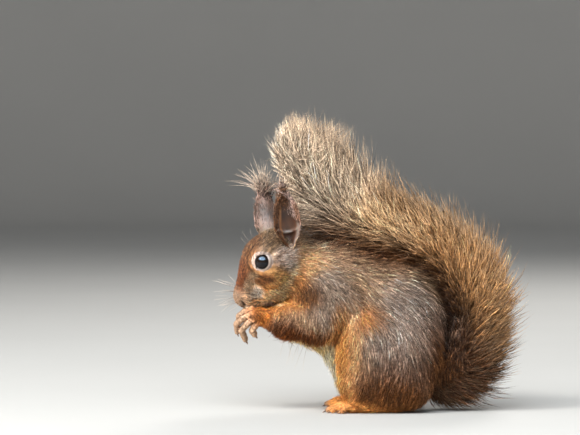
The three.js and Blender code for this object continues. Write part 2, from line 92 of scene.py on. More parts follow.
# ---- Landmarks, in the middle plane unless a Y is given ----
NAPE = at(-47, 0, 92)  # the head turns about the vertical line through it
CHEST = at(-31, 0, 71)
BACK = at(4, 0, 57)
RUMP = at(20, 0, 32)
BELLY = at(-11.5, 0, 41)
FLOOR = CAD_BOX[0][2] / MM
HEEL_X = 17
FOOT_LENGTH = 54
FOOT_OFFSET = 19
HANDS_MIDDLE = -8
EYE_OPENING = (4.0, 4.1)  # half width and half height of the opening between the lids
EYE_RING = (7.2, 7.0, 7.0)  # half lengths of the pale ring of lids and short hair: along, up and out
EYE_SOCKET = (4.3, 4.9, 6.0)  # the same of the hollow that the ball stands in
SOCKET_SIZE = 4.7  # its half length, taken as one all round
RING_LIFT, SOCKET_LIFT = 0.7, 0.2  # how much higher than the ball the ring and the socket lie
EAR_LENGTH = 47
TAIL_HALF_WIDTH = 27
TAIL_LEAN = 0.2


def from_nape(x, y, z):
    return NAPE + at(x, y, z)


def unit(v):
    return v / np.maximum(np.linalg.norm(v, axis=-1, keepdims=True), 1e-9)


def clamp01(x):
    return np.clip(x, 0, 1)


def smoothstep(low, high, x):
    """0 below low, 1 above high, with a smooth cubic between them."""
    t = clamp01((x - low) / (high - low))
    return t * t * (3 - 2 * t)


def mix(a, b, share):
    """a where the share is 0 and b where it is 1."""
    return a + (b - a) * share


def unturned(p):
    """Points of the world as points of the head before it is turned about the nape."""
    c, s = math.cos(HEAD_TURN), math.sin(HEAD_TURN)
    dx = p[..., 0] - NAPE[0]
    return np.stack([NAPE[0] + dx * c + p[..., 1] * s, p[..., 1] * c - dx * s, p[..., 2]], -1)


def turn(v):
    """Directions of the unturned head as directions of the world."""
    c, s = math.cos(HEAD_TURN), math.sin(HEAD_TURN)
    return np.stack([v[..., 0] * c - v[..., 1] * s, v[..., 0] * s + v[..., 1] * c, v[..., 2]], -1)


def on_head(p):
    return NAPE + turn(np.asarray(p, float) - NAPE)


def eye_centre(side):
    low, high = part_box(f"eye_{SIDE_NAMES[side]}")
    return np.array((low + high) / 2) / MM


def eye_radius(side):
    low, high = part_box(f"eye_{SIDE_NAMES[side]}")
    return (high.z - low.z) / 2 / MM


@functools.cache
def eye_axes(side):
    """The eye's centre, the way that it looks, and two ways across it: back along the head, and up."""
    centre = eye_centre(side)
    look = unit(slope(HEAD, centre[None])[0] * at(1, 1, 0.25))
    rear = turn(at(1, 0, 0))
    rear = unit(rear - look * (rear @ look))
    return centre, look, rear, np.cross(look, rear) * -side


def eye_reach(p, side, half=EYE_RING, lift=RING_LIFT):
    """How far the points lie from the eye's middle in half lengths of an ellipsoid about it: 1 is the outer
    edge of the pale ring, unless another ellipsoid is given."""
    centre, look, rear, up = eye_axes(side)
    d = p - centre - up * lift
    ways = (rear, up, look)
    return np.linalg.norm(np.stack([d @ way / size for way, size in zip(ways, half)], -1), axis=-1)


WAVES = 9  # in each ripple


def ripple(p, wavelength, seed):
    """Smooth noise of about -1 to 1: waves in fixed random directions, of about the wavelength, added up."""
    draw = np.random.default_rng(seed)
    ways = unit(draw.normal(size=(WAVES, 3)))
    waves = ways * (2 * math.pi / (wavelength * draw.uniform(0.7, 1.5, (WAVES, 1))))
    total = np.zeros(p.shape[:-1])
    for wave, phase in zip(waves, draw.uniform(0, 2 * math.pi, WAVES)):
        total += np.sin(p @ wave + phase)
    return total / 4.2


# ---- Fields: negative inside, in millimetres. Each takes an array of points ----


def mass(centre, half, pitch=0.0):
    """An ellipsoid whose X axis is pitched nose-down. With k the distance from its centre in half lengths,
    the field is k(k - 1) over the size of the slope."""
    c, s = math.cos(pitch), math.sin(pitch)
    half = np.asarray(half, float)

    def field(p):
        d = p - centre
        q = np.stack([d[:, 0] * c + d[:, 2] * s, d[:, 1], d[:, 2] * c - d[:, 0] * s], -1) / half
        k = np.linalg.norm(q, axis=1)
        return k * (k - 1) / np.maximum(np.linalg.norm(q / half, axis=1), 1e-6)

    return field


def limb(a, r0, b, r1, flat=1.0):
    """A limb that tapers from radius r0 at a to r1 at b; flat below 1 makes it narrower across the body."""
    axis = b - a
    span = axis @ axis

    def field(p):
        d = p - a
        t = clamp01(d @ axis / span)
        off = d - t[:, None] * axis
        off[:, 1] /= flat
        return np.linalg.norm(off, axis=1) - mix(r0, r1, t)

    return field


def linked(points, radii, fillet, flat=1.0):
    """Limbs end to end through the points, with a radius at each."""
    links = zip(points[:-1], radii[:-1], points[1:], radii[1:])
    return melt(fillet, *[limb(a, ra, b, rb, flat) for a, ra, b, rb in links])


def chain(points, r0, r1):
    """Limbs end to end through the points, tapering evenly from r0 to r1."""
    return linked(points, np.linspace(r0, r1, len(points)), 0.6)


def joined(d, e, fillet):
    """The smaller of two values, lowered by h squared times a quarter of the fillet, where h is how close the
    two are as a share of the fillet."""
    h = np.maximum(fillet - np.abs(d - e), 0) / fillet
    return np.minimum(d, e) - h * h * fillet / 4


def melt(fillet, *fields):
    """Fields joined into one, with a soft edge between them."""
    return lambda p: functools.reduce(lambda d, other: joined(d, other(p), fillet), fields[1:], fields[0](p))


def carved(d, p, fillet, cutters):
    """Values at the points with other fields cut out of them: the same joining, upside down."""
    return -functools.reduce(lambda e, cutter: joined(e, cutter(p), fillet), cutters, -d)


def turned(field):
    return lambda p: field(unturned(p))


def side_of(side, x, y, z):
    return at(x, y * side, z)


def head_form():
    """Skull, snout, forehead, jaw and nose, then the cheeks, whisker pads, brows and ear roots."""
    pitch = HEAD_PITCH
    middle = melt(
        6,
        mass(from_nape(-14.5, 0, 0), (23, 17, 21), pitch),
        limb(from_nape(-26, 0, -8), 13, from_nape(-34.6, 0, -18.5), 7.6, 0.86),
        limb(from_nape(-26, 0, 3.5), 10, from_nape(-33.6, 0, -13), 6.2, 0.8),
        limb(from_nape(-12, 0, -12), 13, from_nape(-30.5, 0, -24), 5.2, 0.95),
        mass(from_nape(-38, 0, -21.8), (3.3, 3.4, 4), pitch),
    )
    sides = []
    for side in SIDES:
        sides += [
            mass(from_nape(-19, 9 * side, -13), (11, 8, 11), pitch),
            mass(from_nape(-33, 4.2 * side, -20.5), (5.2, 4.6, 5.2), pitch),
            mass(from_nape(-21.5, 5.5 * side, -20.5), (8.5, 7.5, 5.5), pitch * 0.5),
            mass(from_nape(-27, 9.4 * side, 7.5), (7.5, 5, 4), pitch),
        ]
    return melt(4, middle, *sides)


def neck_form():
    return melt(
        8,
        limb(from_nape(-6, 0, -2), 18.5, CHEST, 23, 0.86),
        limb(from_nape(-2, 0, 2), 15, at(-18, 0, 79), 24, 0.9),
        limb(from_nape(-8, -1, -12), 14, at(-40, 0, 68), 16, 0.9),
    )


def trunk_form():
    return melt(
        10,
        mass(CHEST, (27, 24, 28)),
        limb(at(-20, 0, 78.5), 26, at(6, 0, 63.5), 31, 0.85),
        limb(at(-49, -2, 52.5), 10.5, at(-29, 0, 51.5), 18, 0.95),
        mass(BACK, (40.5, 29, 39.5)),
        limb(BELLY, 19, RUMP, 24.5, 0.95),
        limb(BELLY, 17, at(-13.5, 0, 21), 13, 0.95),
    )


def haunch_form(side):
    """The folded thigh and shank, seen as one rounded haunch with the knee in front."""
    return melt(
        10,
        mass(side_of(side, 8.5, 19, 37.5), (33, 16, 34), math.radians(-6)),
        limb(side_of(side, -7, 24, 50), 13.5, side_of(side, -10, 23, 20), 12.5, 0.85),
        limb(side_of(side, -7, 22, 17), 12, side_of(side, 20, 20, 15), 13, 0.9),
    )


def wrist_of(side):
    return at(-69, HANDS_MIDDLE + 7.5 * side, 58.4)


def arm_form(side):
    shoulder, elbow = side_of(side, -26, 17, 73), side_of(side, -36, 21, 55)
    middle = at(-54, 16 * side + HANDS_MIDDLE * 0.35, 56)
    upper = melt(
        9,
        limb(shoulder, 17, elbow, 11.5, 0.72),
        limb(side_of(side, -20, 18, 61), 14, elbow, 10.5, 0.7),
    )
    fore = melt(4, limb(elbow, 11.5, middle, 11, 0.76), limb(middle, 11, wrist_of(side), 6, 0.76))
    return melt(6, upper, fore)


# The fingers from the wrist: points along each, towards the tip, for the side it lies on.
FINGERS = (
    ((-7, 0, 4.4), (-12, -1.2, 3.2), (-15.6, -3.4, 0.4), (-16, -5.4, -2.4)),
    ((-7.6, 1.4, 1.8), (-13, 1, -0.6), (-17, -1, -4.6), (-16.6, -3.6, -9.4)),
    ((-6.6, 2.2, -0.8), (-10.6, 2.2, -4.4), (-14, 0.6, -8.4), (-11.6, -2, -14)),
    ((-3.2, 2, -2.6), (-5.8, 2, -5.6), (-7.4, 0.8, -8.6), (-5.8, -1.4, -11)),
)
FINGER_RADII = (1.9, 2.05, 2.1, 2.1)
TOE_SHARES = (0.2, 0.31, 0.34, 0.31, 0.22)  # of the foot's length, from the outer toe to the inner


def from_wrist(side, x, y, z):
    return wrist_of(side) + side_of(side, x, y, z)


def finger_lines(side):
    return [[from_wrist(side, *p) for p in line] for line in FINGERS]


def finger_forms(side):
    return [chain(line, r, r * 0.78) for line, r in zip(finger_lines(side), FINGER_RADII)]


def toe_lines(side):
    y = FOOT_OFFSET * side
    ball = HEEL_X - FOOT_LENGTH * 0.66
    lines = []
    for i, share in enumerate(TOE_SHARES):
        spread = (i - 2) * side
        length = share * FOOT_LENGTH - 4
        root = at(ball + 3.2 + abs(i - 2) * 0.9, y + 1.2 * side + spread * 2.7, 3.2)
        reach = unit(at(-1, spread * 0.16, 0))
        tip = root + reach * length
        tip[2] = 1.7
        lines.append([root, root + reach * length * 0.55 + at(0, 0, 1.2), tip])
    return lines


def hand_form(side):
    palm = melt(
        2,
        limb(from_wrist(side, 3, 0.4, 0.4), 4.3, from_wrist(side, -5, 0.8, 0.6), 4.6, 0.85),
        limb(from_wrist(side, -5, 0.8, 0.6), 4.6, from_wrist(side, -8.5, -0.4, -0.6), 3.9, 0.85),
    )
    return melt(0.4, palm, *finger_forms(side))


def foot_form(side):
    y = FOOT_OFFSET * side
    heel, ball = at(HEEL_X - 4, y, 4.6), at(HEEL_X - FOOT_LENGTH * 0.6, y + 1.2 * side, 3.4)
    sole = limb(heel, 4.4, ball, 3.6, 1.5)
    return melt(1.2, sole, *[chain(line, 1.95, 1.5) for line in toe_lines(side)])


# ---- Tail: the middle of the brush from the rump round behind the back, with its half depth there ----
TAIL = np.array([
    (30, 14, 9), (46, 14.5, 17), (60, 23.5, 22.5), (65, 42, 21), (67.5, 62, 22), (62, 83.5, 24.5),
    (45.5, 102, 23), (23, 114, 22), (0, 122, 25), (-16.5, 133, 30), (-30, 148.5, 33.5), (-45, 163, 31),
    (-62.5, 182, 25),
])  # fmt: skip


def along(rows, t):
    """Reads rows at t from 0 to 1 by a Catmull-Rom spline, straight on beyond its ends."""
    rows = np.asarray(rows, float)
    last = len(rows) - 1
    x = np.asarray(t, float) * last
    i = np.clip(np.floor(x).astype(int), 0, last - 1)
    u = (x - i)[..., None]
    a, b = rows[i], rows[i + 1]
    before = np.where((i > 0)[..., None], rows[np.maximum(i - 1, 0)], 2 * a - b)
    after = np.where((i < last - 1)[..., None], rows[np.minimum(i + 2, last)], 2 * b - a)
    m0, m1 = (b - before) / 2, (after - a) / 2
    inner = clamp01(u)
    u2, u3 = inner**2, inner**3
    curve = (2 * u3 - 3 * u2 + 1) * a + (u3 - 2 * u2 + inner) * m0
    curve = curve + (3 * u2 - 2 * u3) * b + (u3 - u2) * m1
    return curve + np.where(u > 1, u - 1, np.where(u < 0, u, 0)) * np.where(u > 1, m1, m0)


def in_middle_plane(x, z):
    return np.stack([x, np.zeros_like(x), z], -1)


def brush_frame(t):
    """At t along the tail: the middle of the brush, the way towards the tip, the way towards the back that it
    lies along, and its half depth and half width."""
    t = np.asarray(t)
    x, z, depth = np.moveaxis(along(TAIL, t), -1, 0)
    x2, z2, _ = np.moveaxis(along(TAIL, t + 0.01), -1, 0)
    way = unit(in_middle_plane(x2 - x, z2 - z))
    inward = in_middle_plane(-way[..., 2], way[..., 0])
    width = TAIL_HALF_WIDTH * (0.55 + 0.45 * smoothstep(0, 0.4, t))
    return in_middle_plane(x, z), way, inward, depth, width


CORE_PLACES = (0, 0.15, 0.6, 0.93)  # along the tail, where the radius of its core is given


def tail_core():
    """The bone with its underfur, along the edge of the brush that lies nearest the back."""
    t = np.linspace(0, 0.93, 15)
    middle, _, inward, depth, _ = brush_frame(t)
    radii = depth * np.interp(t, CORE_PLACES, (0.55, 0.46, 0.4, 0.14))
    return linked(middle + inward * (depth * 0.4)[:, None], radii, 4, 1.25)


# ---- The lie of the coat ----
# Place, the way the hair lies, its length, its width and how deep the coat is there. A Y below is outwards
# on both sides. Rows of the head count from the nape, before it is turned.
HEAD_LIE = (
    ((-40, 0, -20), (0.3, 0.2, 0.95), 0.6, 0.14, 0.2),  # nose
    ((-33, 0, -7), (0.4, 0.0, 0.9), 1.3, 0.18, 0.45),  # bridge
    ((-26, 0, 11), (0.7, 0.1, 0.7), 1.8, 0.21, 0.8),  # forehead
    ((-12, 0, 20), (0.98, 0.0, 0.1), 2.8, 0.25, 1.3),  # crown
    ((2, 0, 12), (0.9, 0.0, -0.4), 5.0, 0.32, 2.2),  # nape
    ((-35, 5, -14), (0.6, 0.4, 0.7), 1.0, 0.17, 0.35),  # muzzle
    ((-32, 8, -20), (0.8, 0.5, -0.2), 1.1, 0.17, 0.4),  # whisker pad
    ((-27, 11, -8), (0.85, 0.3, -0.2), 1.6, 0.20, 0.6),  # under the eye
    ((-17, 15, -9), (0.95, 0.1, -0.3), 2.9, 0.25, 1.3),  # cheek
    ((-20, 10, -21), (0.9, 0.1, -0.4), 3.0, 0.27, 1.4),  # jaw
    ((-31, 0, -28), (0.8, 0.0, -0.5), 1.3, 0.18, 0.5),  # chin
    ((-18, 0, -26), (0.8, 0.0, -0.6), 3.3, 0.28, 1.8),  # throat
    ((-16, 16, 1), (0.97, 0.1, 0.0), 2.2, 0.22, 0.9),  # behind the eye
    ((-18, 13, 12), (0.85, 0.1, 0.5), 2.1, 0.22, 0.9),  # temple
    ((-28, 10, 9), (0.6, 0.2, 0.75), 1.5, 0.20, 0.6),  # brow
    ((-9, 14, 12), (0.8, 0.2, 0.4), 2.4, 0.24, 0.9),  # ear root
    ((0, 15, 0), (0.9, 0.1, -0.4), 4.6, 0.31, 2.2),  # side of the neck
)
BODY_LIE = (
    ((-39, 0, 104), (0.92, 0.0, -0.2), 5.9, 0.35, 2.8),  # nape
    ((-38, 17, 88), (0.8, 0.0, -0.55), 5.6, 0.34, 2.6),  # neck
    ((-31, 22, 80), (0.65, 0.0, -0.75), 5.6, 0.35, 2.8),  # shoulder
    ((-42, 20, 72), (0.45, 0.0, -0.9), 5.0, 0.32, 2.4),  # front of the shoulder
    ((-28, 26, 62), (0.25, 0.0, -0.95), 5.3, 0.35, 2.6),  # upper arm
    ((-31, 24, 49), (-0.25, 0.0, -0.95), 5.0, 0.34, 2.2),  # elbow
    ((-56, 12, 66), (-0.9, 0.1, -0.3), 2.8, 0.25, 1.1),  # top of the forearm
    ((-56, 16, 52), (-0.65, 0.0, -0.75), 3.7, 0.28, 1.5),  # forearm
    ((-69, 8, 58), (-0.95, 0.0, -0.25), 1.7, 0.20, 0.6),  # wrist
    ((-80, 8, 52), (-0.7, 0.0, -0.7), 0.7, 0.15, 0.2),  # fingers
    ((-58, 0, 50), (0.2, 0.0, -0.95), 4.6, 0.31, 2.0),  # breast
    ((-37, 8, 38), (0.4, 0.0, -0.9), 5.9, 0.35, 2.8),  # belly
    ((-28, 8, 24), (0.15, 0.0, -1.0), 5.6, 0.35, 2.6),  # groin
    ((-16, 8, 98), (0.9, 0.0, -0.2), 6.6, 0.38, 3.2),  # withers
    ((4, 6, 97), (0.88, 0.0, -0.35), 6.9, 0.39, 3.2),  # back
    ((22, 10, 84), (0.75, 0.0, -0.65), 6.9, 0.39, 3.2),  # loin
    ((41, 10, 56), (0.3, 0.0, -0.95), 6.6, 0.38, 3.0),  # rump
    ((40, 10, 26), (0.2, 0.0, -0.98), 5.9, 0.35, 2.6),  # tail root
    ((-13, 27, 78), (0.75, 0.0, -0.65), 6.6, 0.38, 3.0),  # ribs
    ((3, 28, 68), (0.75, 0.0, -0.65), 6.6, 0.38, 3.0),  # flank
    ((-8, 34, 58), (0.4, 0.0, -0.9), 5.9, 0.36, 2.6),  # top of the thigh
    ((8, 36, 40), (0.05, 0.0, -1.0), 6.3, 0.38, 2.8),  # thigh
    ((31, 30, 48), (0.35, 0.0, -0.93), 6.6, 0.38, 2.8),  # back of the thigh
    ((9, 34, 20), (-0.2, 0.0, -0.98), 5.3, 0.35, 2.2),  # shank
    ((-20, 28, 42), (-0.25, 0.0, -0.95), 5.0, 0.32, 2.0),  # knee
    ((-22, 24, 18), (-0.2, 0.0, -0.95), 4.3, 0.29, 1.6),  # shin
    ((-16, 19, 6), (-0.95, 0.0, -0.1), 1.6, 0.21, 0.6),  # foot
    ((-34, 19, 3), (-1.0, 0.0, -0.1), 0.8, 0.17, 0.25),  # toes
    ((16, 19, 6), (-0.6, 0.0, -0.7), 2.3, 0.24, 1.0),  # heel
)


def lie_table():
    """Both sides' rows in the world, as arrays of places and of way, length, width and depth."""
    places, values = [], []
    for rows, head in ((HEAD_LIE, True), (BODY_LIE, False)):
        for (x, y, z), (dx, dy, dz), *sizes in rows:
            for side in SIDES if y else (1,):
                place, way = at(x, y * side, z), at(dx, dy * side, dz)
                if head:
                    place, way = on_head(NAPE + place), turn(way)
                places.append(place)
                values.append([*way, *sizes])
    return np.array(places), np.array(values)


LIE_PLACES, LIE_VALUES = lie_table()
LENGTH, WIDTH, DEPTH = 3, 4, 5  # columns of the lie, after the three of the way
LIE_BLOCK = 50000  # points worked out at a time


def lie(p):
    """Way, length, width and depth of the coat at the points: the mean of the table's rows, each weighted by
    one over the square of nine plus its squared distance."""
    out = np.empty((len(p), LIE_VALUES.shape[1]))
    for start in range(0, len(p), LIE_BLOCK):
        q = p[start : start + LIE_BLOCK]
        d2 = ((q**2).sum(1)[:, None] + (LIE_PLACES**2).sum(1)) - 2 * q @ LIE_PLACES.T
        w = 1 / (np.maximum(d2, 0) + 9) ** 2
        out[start : start + LIE_BLOCK] = (w / w.sum(1, keepdims=True)) @ LIE_VALUES
    return out


# ---- The whole skin ----

HEAD_FLAT = head_form()
HEAD = turned(HEAD_FLAT)
NECK = neck_form()
TRUNK = trunk_form()
ARMS = {side: arm_form(side) for side in SIDES}
HAUNCHES = {side: haunch_form(side) for side in SIDES}
HANDS = melt(0.3, *[hand_form(side) for side in SIDES])
FEET = melt(0.3, *[foot_form(side) for side in SIDES])
TAIL_CORE = tail_core()
COAT_FORM = melt(
    4,
    melt(5, melt(6, melt(9, TRUNK, NECK), HEAD), *ARMS.values()),
    *HAUNCHES.values(),
)


# Lips, nostrils and the ears' holes: the colour inside, which the markings darken as painted shade of the
# fold, points counted from the nape before the head is turned, and the radius at each end.
FOLDS = (
    (
        "mauve",
        ((-37, 2.4, -27), (-34, 6, -26.8), (-30, 8, -26.2), (-26, 9, -26.2), (-22.5, 9.5, -27)),
        0.35,
        0.2,
    ),
    ("black", ((-39.4, 2.5, -21.6), (-38.4, 3.6, -23.4), (-37.4, 3.9, -25.8)), 1.05, 0.6),
    ("rust", ((-10.5, 14.5, 15.5), (-11.5, 9, 13.5), (-12, 8, 11)), 1.7, 1.3),
)
CHEEK_FOLD = ((-17.5, 14.5, -23), (-17.5, 17, -16), (-13.3, 17, -10.2), (-9.5, 16.8, -3))


def head_chain(points, r0, r1, side):
    return turned(chain([from_nape(x, y * side, z) for x, y, z in points], r0, r1))


FACE_CUTS = [(name, head_chain(*fold, side)) for side in SIDES for name, *fold in FOLDS]
CHEEK_CUTS = [head_chain(CHEEK_FOLD, 0.9, 0.3, side) for side in SIDES]
FACE_X = -50  # what is cut into the face lies in front of it


def skin_field(p):
    """The coat's outline drawn in by the coat's depth, with hands, feet and the tail's core melted on to it,
    the face's folds and the eyes' sockets cut in, and flat where it rests on the floor."""
    d = joined(COAT_FORM(p) + lie(p)[:, DEPTH], TAIL_CORE(p), 3)
    for extra in (HANDS, FEET):
        d = joined(d, extra(p), 1.6)
    near = p[:, 0] < FACE_X
    if near.any():
        q = p[near]
        face = carved(d[near], q, 0.8, [cutter for _, cutter in FACE_CUTS])
        face = carved(face, q, 3.0, CHEEK_CUTS)
        for side in SIDES:
            face = np.maximum(face, SOCKET_SIZE * (1 - eye_reach(q, side, EYE_SOCKET, SOCKET_LIFT)))
        d[near] = face
    return np.maximum(d, FLOOR + 0.1 - p[:, 2])


def graded(low, high, fine_low, fine_high, fine, coarse):
    """Grid lines from low to high, a fine step apart in the middle stretch and a coarse step outside it."""
    parts = [
        np.linspace(low, fine_low, max(2, round((fine_low - low) / coarse)), endpoint=False),
        np.linspace(fine_low, fine_high, max(2, round((fine_high - fine_low) / fine)), endpoint=False),
        np.linspace(fine_high, high, max(2, round((high - fine_high) / coarse))),
    ]
    return np.concatenate(parts)


def sampled(field, axes, block=5):
    """The field at every grid point. Whole blocks that the surface can't reach only get their sign."""
    shape = [len(a) for a in axes]
    middles, halves = [], []
    for a in axes:
        starts = np.arange(0, len(a), block)
        low, high = a[starts], a[np.minimum(starts + block - 1, len(a) - 1)]
        middles.append((low + high) / 2)
        halves.append((high - low) / 2)
    centres = np.stack(np.meshgrid(*middles, indexing="ij"), -1)
    reach = np.linalg.norm(np.stack(np.meshgrid(*halves, indexing="ij"), -1), axis=-1)
    rough = field(centres.reshape(-1, 3)).reshape(reach.shape)
    near = np.abs(rough) < 1.5 * reach + 2

    def spread(values):
        for axis in range(3):
            values = values.repeat(block, axis).take(range(shape[axis]), axis)
        return values

    value = spread(np.where(rough < 0, -1.0, 1.0))
    where = np.nonzero(spread(near))
    value[where] = field(np.stack([a[i] for a, i in zip(axes, where)], -1))
    return value


def slope(field, p, nudge=0.05):
    """How the field grows at the points, by small steps along each axis; it points out of the form."""
    return np.stack([field(p + nudge * e) - field(p - nudge * e) for e in np.eye(3)], -1) / (2 * nudge)


def surface(field, axes):
    """The closed surface where the field is zero: each crossed cell gets one vertex at the mean of its edges'
    crossings, slid on to the surface, and each crossed grid edge gets a four-sided face."""
    value = sampled(field, axes)
    inside = value < 0
    corners = np.array([(c & 1, (c >> 1) & 1, c >> 2) for c in range(8)])
    cells = [n - 1 for n in value.shape]

    def shifted(array, offset):
        return array[tuple(slice(o, o + n) for o, n in zip(offset, cells))]

    count = sum(shifted(inside, c).astype(np.int8) for c in corners)
    crossed = (count > 0) & (count < 8)
    cell = np.argwhere(crossed)
    number = np.full(crossed.shape, -1)
    number[crossed] = np.arange(len(cell))
    total = np.zeros((len(cell), 3))
    crossings = np.zeros((len(cell), 1))
    for a in corners:
        for axis in range(3):
            if a[axis]:
                continue
            start, end = cell + a, cell + a
            end[:, axis] += 1
            va, vb = value[tuple(start.T)], value[tuple(end.T)]
            cut = (va < 0) != (vb < 0)
            share = np.where(cut, va / np.where(cut, va - vb, 1), 0)[:, None]
            pa = np.stack([line[i] for line, i in zip(axes, start.T)], -1)
            pb = np.stack([line[i] for line, i in zip(axes, end.T)], -1)
            total += np.where(cut[:, None], pa + (pb - pa) * share, 0)
            crossings += cut[:, None]
    points = total / crossings
    for _ in range(2):
        away = slope(field, points)
        size = np.maximum((away**2).sum(1), 0.3)
        points -= away * np.clip(field(points) / size, -0.4, 0.4)[:, None]
    quads = []
    for axis in range(3):
        p, q = np.eye(3, dtype=int)[(axis + 1) % 3], np.eye(3, dtype=int)[(axis + 2) % 3]
        low = inside.take(range(value.shape[axis] - 1), axis)
        high = inside.take(range(1, value.shape[axis]), axis)
        edge = np.argwhere(low != high)
        quad = np.stack([number[tuple((edge - o).T)] for o in (0 * p, p, p + q, q)], -1)
        out = low[tuple(edge.T)]
        quads.append(np.where(out[:, None], quad, quad[:, ::-1]))
    return points, np.concatenate(quads)


# ---- Meshes ----


def new_object(name, points, faces, material, colours=None, uv=None):
    """A mesh object at the origin from points in millimetres and arrays of faces, one array for each number
    of corners, with a colour and a place on the OFBake map for each point where they are given."""
    points = np.reshape(points, (-1, 3))
    mesh = bpy.data.meshes.new(name)
    corners = np.concatenate([f.ravel() for f in faces]).astype(np.int32)
    sizes = np.concatenate([np.full(len(f), f.shape[1]) for f in faces])
    mesh.vertices.add(len(points))
    mesh.vertices.foreach_set("co", (points * MM).astype(np.float32).ravel())
    mesh.loops.add(len(corners))
    mesh.loops.foreach_set("vertex_index", corners)
    mesh.polygons.add(len(sizes))
    mesh.polygons.foreach_set("loop_start", (np.cumsum(sizes) - sizes).astype(np.int32))
    mesh.polygons.foreach_set("use_smooth", np.ones(len(sizes), bool))
    mesh.update(calc_edges=True)
    if colours is not None:
        layer = mesh.color_attributes.new("Markings", "FLOAT_COLOR", "POINT")
        rgba = np.concatenate([np.reshape(colours, (-1, 3)), np.ones((len(points), 1))], 1)
        layer.data.foreach_set("color", rgba.astype(np.float32).ravel())
    if uv is not None:
        layer = mesh.uv_layers.new(name="OFBake")
        layer.uv.foreach_set("vector", uv.reshape(-1, 2)[corners].astype(np.float32).ravel())
    mesh.materials.append(material)
    made = bpy.data.objects.new(name, mesh)
    bpy.context.scene.collection.objects.link(made)
    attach(made, BODY)
    return made


def strands(paths, up, width, depth, around):
    """Closed tapered strands, all alike in their faces. Each path's points but the last carry a ring, an
    ellipse width across and depth along up; the last point is the tip. up is one way for each strand."""
    count, steps, _ = paths.shape
    way = unit(np.gradient(paths, axis=1))
    across = unit(np.cross(up[:, None, :], way))
    high = np.cross(way, across)
    angle = 2 * math.pi * np.arange(around) / around - math.radians(150)
    ring = (
        across[:, :-1, None, :] * (width[:, :-1, None, None] * np.cos(angle)[:, None])
        + high[:, :-1, None, :] * (depth[:, :-1, None, None] * np.sin(angle)[:, None])
        + paths[:, :-1, None, :]
    )
    points = np.concatenate([ring.reshape(count, -1, 3), paths[:, -1:]], 1)
    j = np.arange(around)
    k = (j + 1) % around
    levels = np.arange(steps - 2)[:, None] * around
    walls = np.stack([levels + j, levels + k, levels + around + k, levels + around + j], -1).reshape(-1, 4)
    last = (steps - 2) * around
    tips = np.stack([last + j, last + k, np.full(around, last + around)], -1)
    base = np.arange(around)[::-1][None]
    first = (np.arange(count) * points.shape[1])[:, None, None]
    faces = [(first + f).reshape(-1, f.shape[1]) for f in (walls, tips, base)]
    return points, faces


# ---- Colours ----


def colour(hex_value):
    """A colour written in the usual hex form, as the linear values that a shader takes."""
    value = np.array([int(hex_value[i : i + 2], 16) for i in (0, 2, 4)]) / 255
    return tuple(np.where(value <= 0.04045, value / 12.92, ((value + 0.055) / 1.055) ** 2.4))


PALETTE = {
    "grizzle": ("Grizzled tan of the flank", "DAB08C"),
    "grey": ("Greyer brown of the thigh and saddle", "D6BBAA"),
    "taupe": ("Darker grey brown of the shoulder", "BEA490"),
    "olive": ("Olive brown of crown and back", "8C7054"),
    "russet": ("Rusty orange of the forehead", "785030"),
    "rust": ("Rust red of the shoulder's front and the bridge of the nose", "6C3A16"),
    "orange": ("Clear orange of forearm and knee", "DC9250"),
    "rufous": ("Deep orange of the wrist", "D07C36"),
    "ochre": ("Yellow ochre of the cheek", "D69E62"),
    "apricot": ("Pale orange of the neck and the thigh's front edge", "FFC088"),
    "cream": ("Cream of the belly and throat", "F8E6BC"),
    "straw": ("Pale yellow of the jaw", "FFCE8C"),
    "brown": ("Brown of elbow and shank", "7C4E2A"),
    "dark": ("Dark brown of the ear's front and the tail's root", "5A3820"),
    "tail": ("Golden brown of the brush", "BA8B5A"),
    "blond": ("Buff of the brush's tips", "D6B288"),
    "silver": ("Creamy grey of the tail's end", "D2BEA8"),
    "pad": ("Whitish grey of the whisker pad", "D6C2AE"),
    "pink": ("Pinkish buff of the nose and fingers", "94775F"),
    "ring": ("Cream pink of the eye ring", "A08C80"),
    "mauve": ("Mauve brown of the ear's skin", "A48A80"),
    "black": ("Near black of nostrils and lips", "241612"),
}


def shade(name):
    return np.array(getattr(bpy.context.scene.squirrel_colours, name))


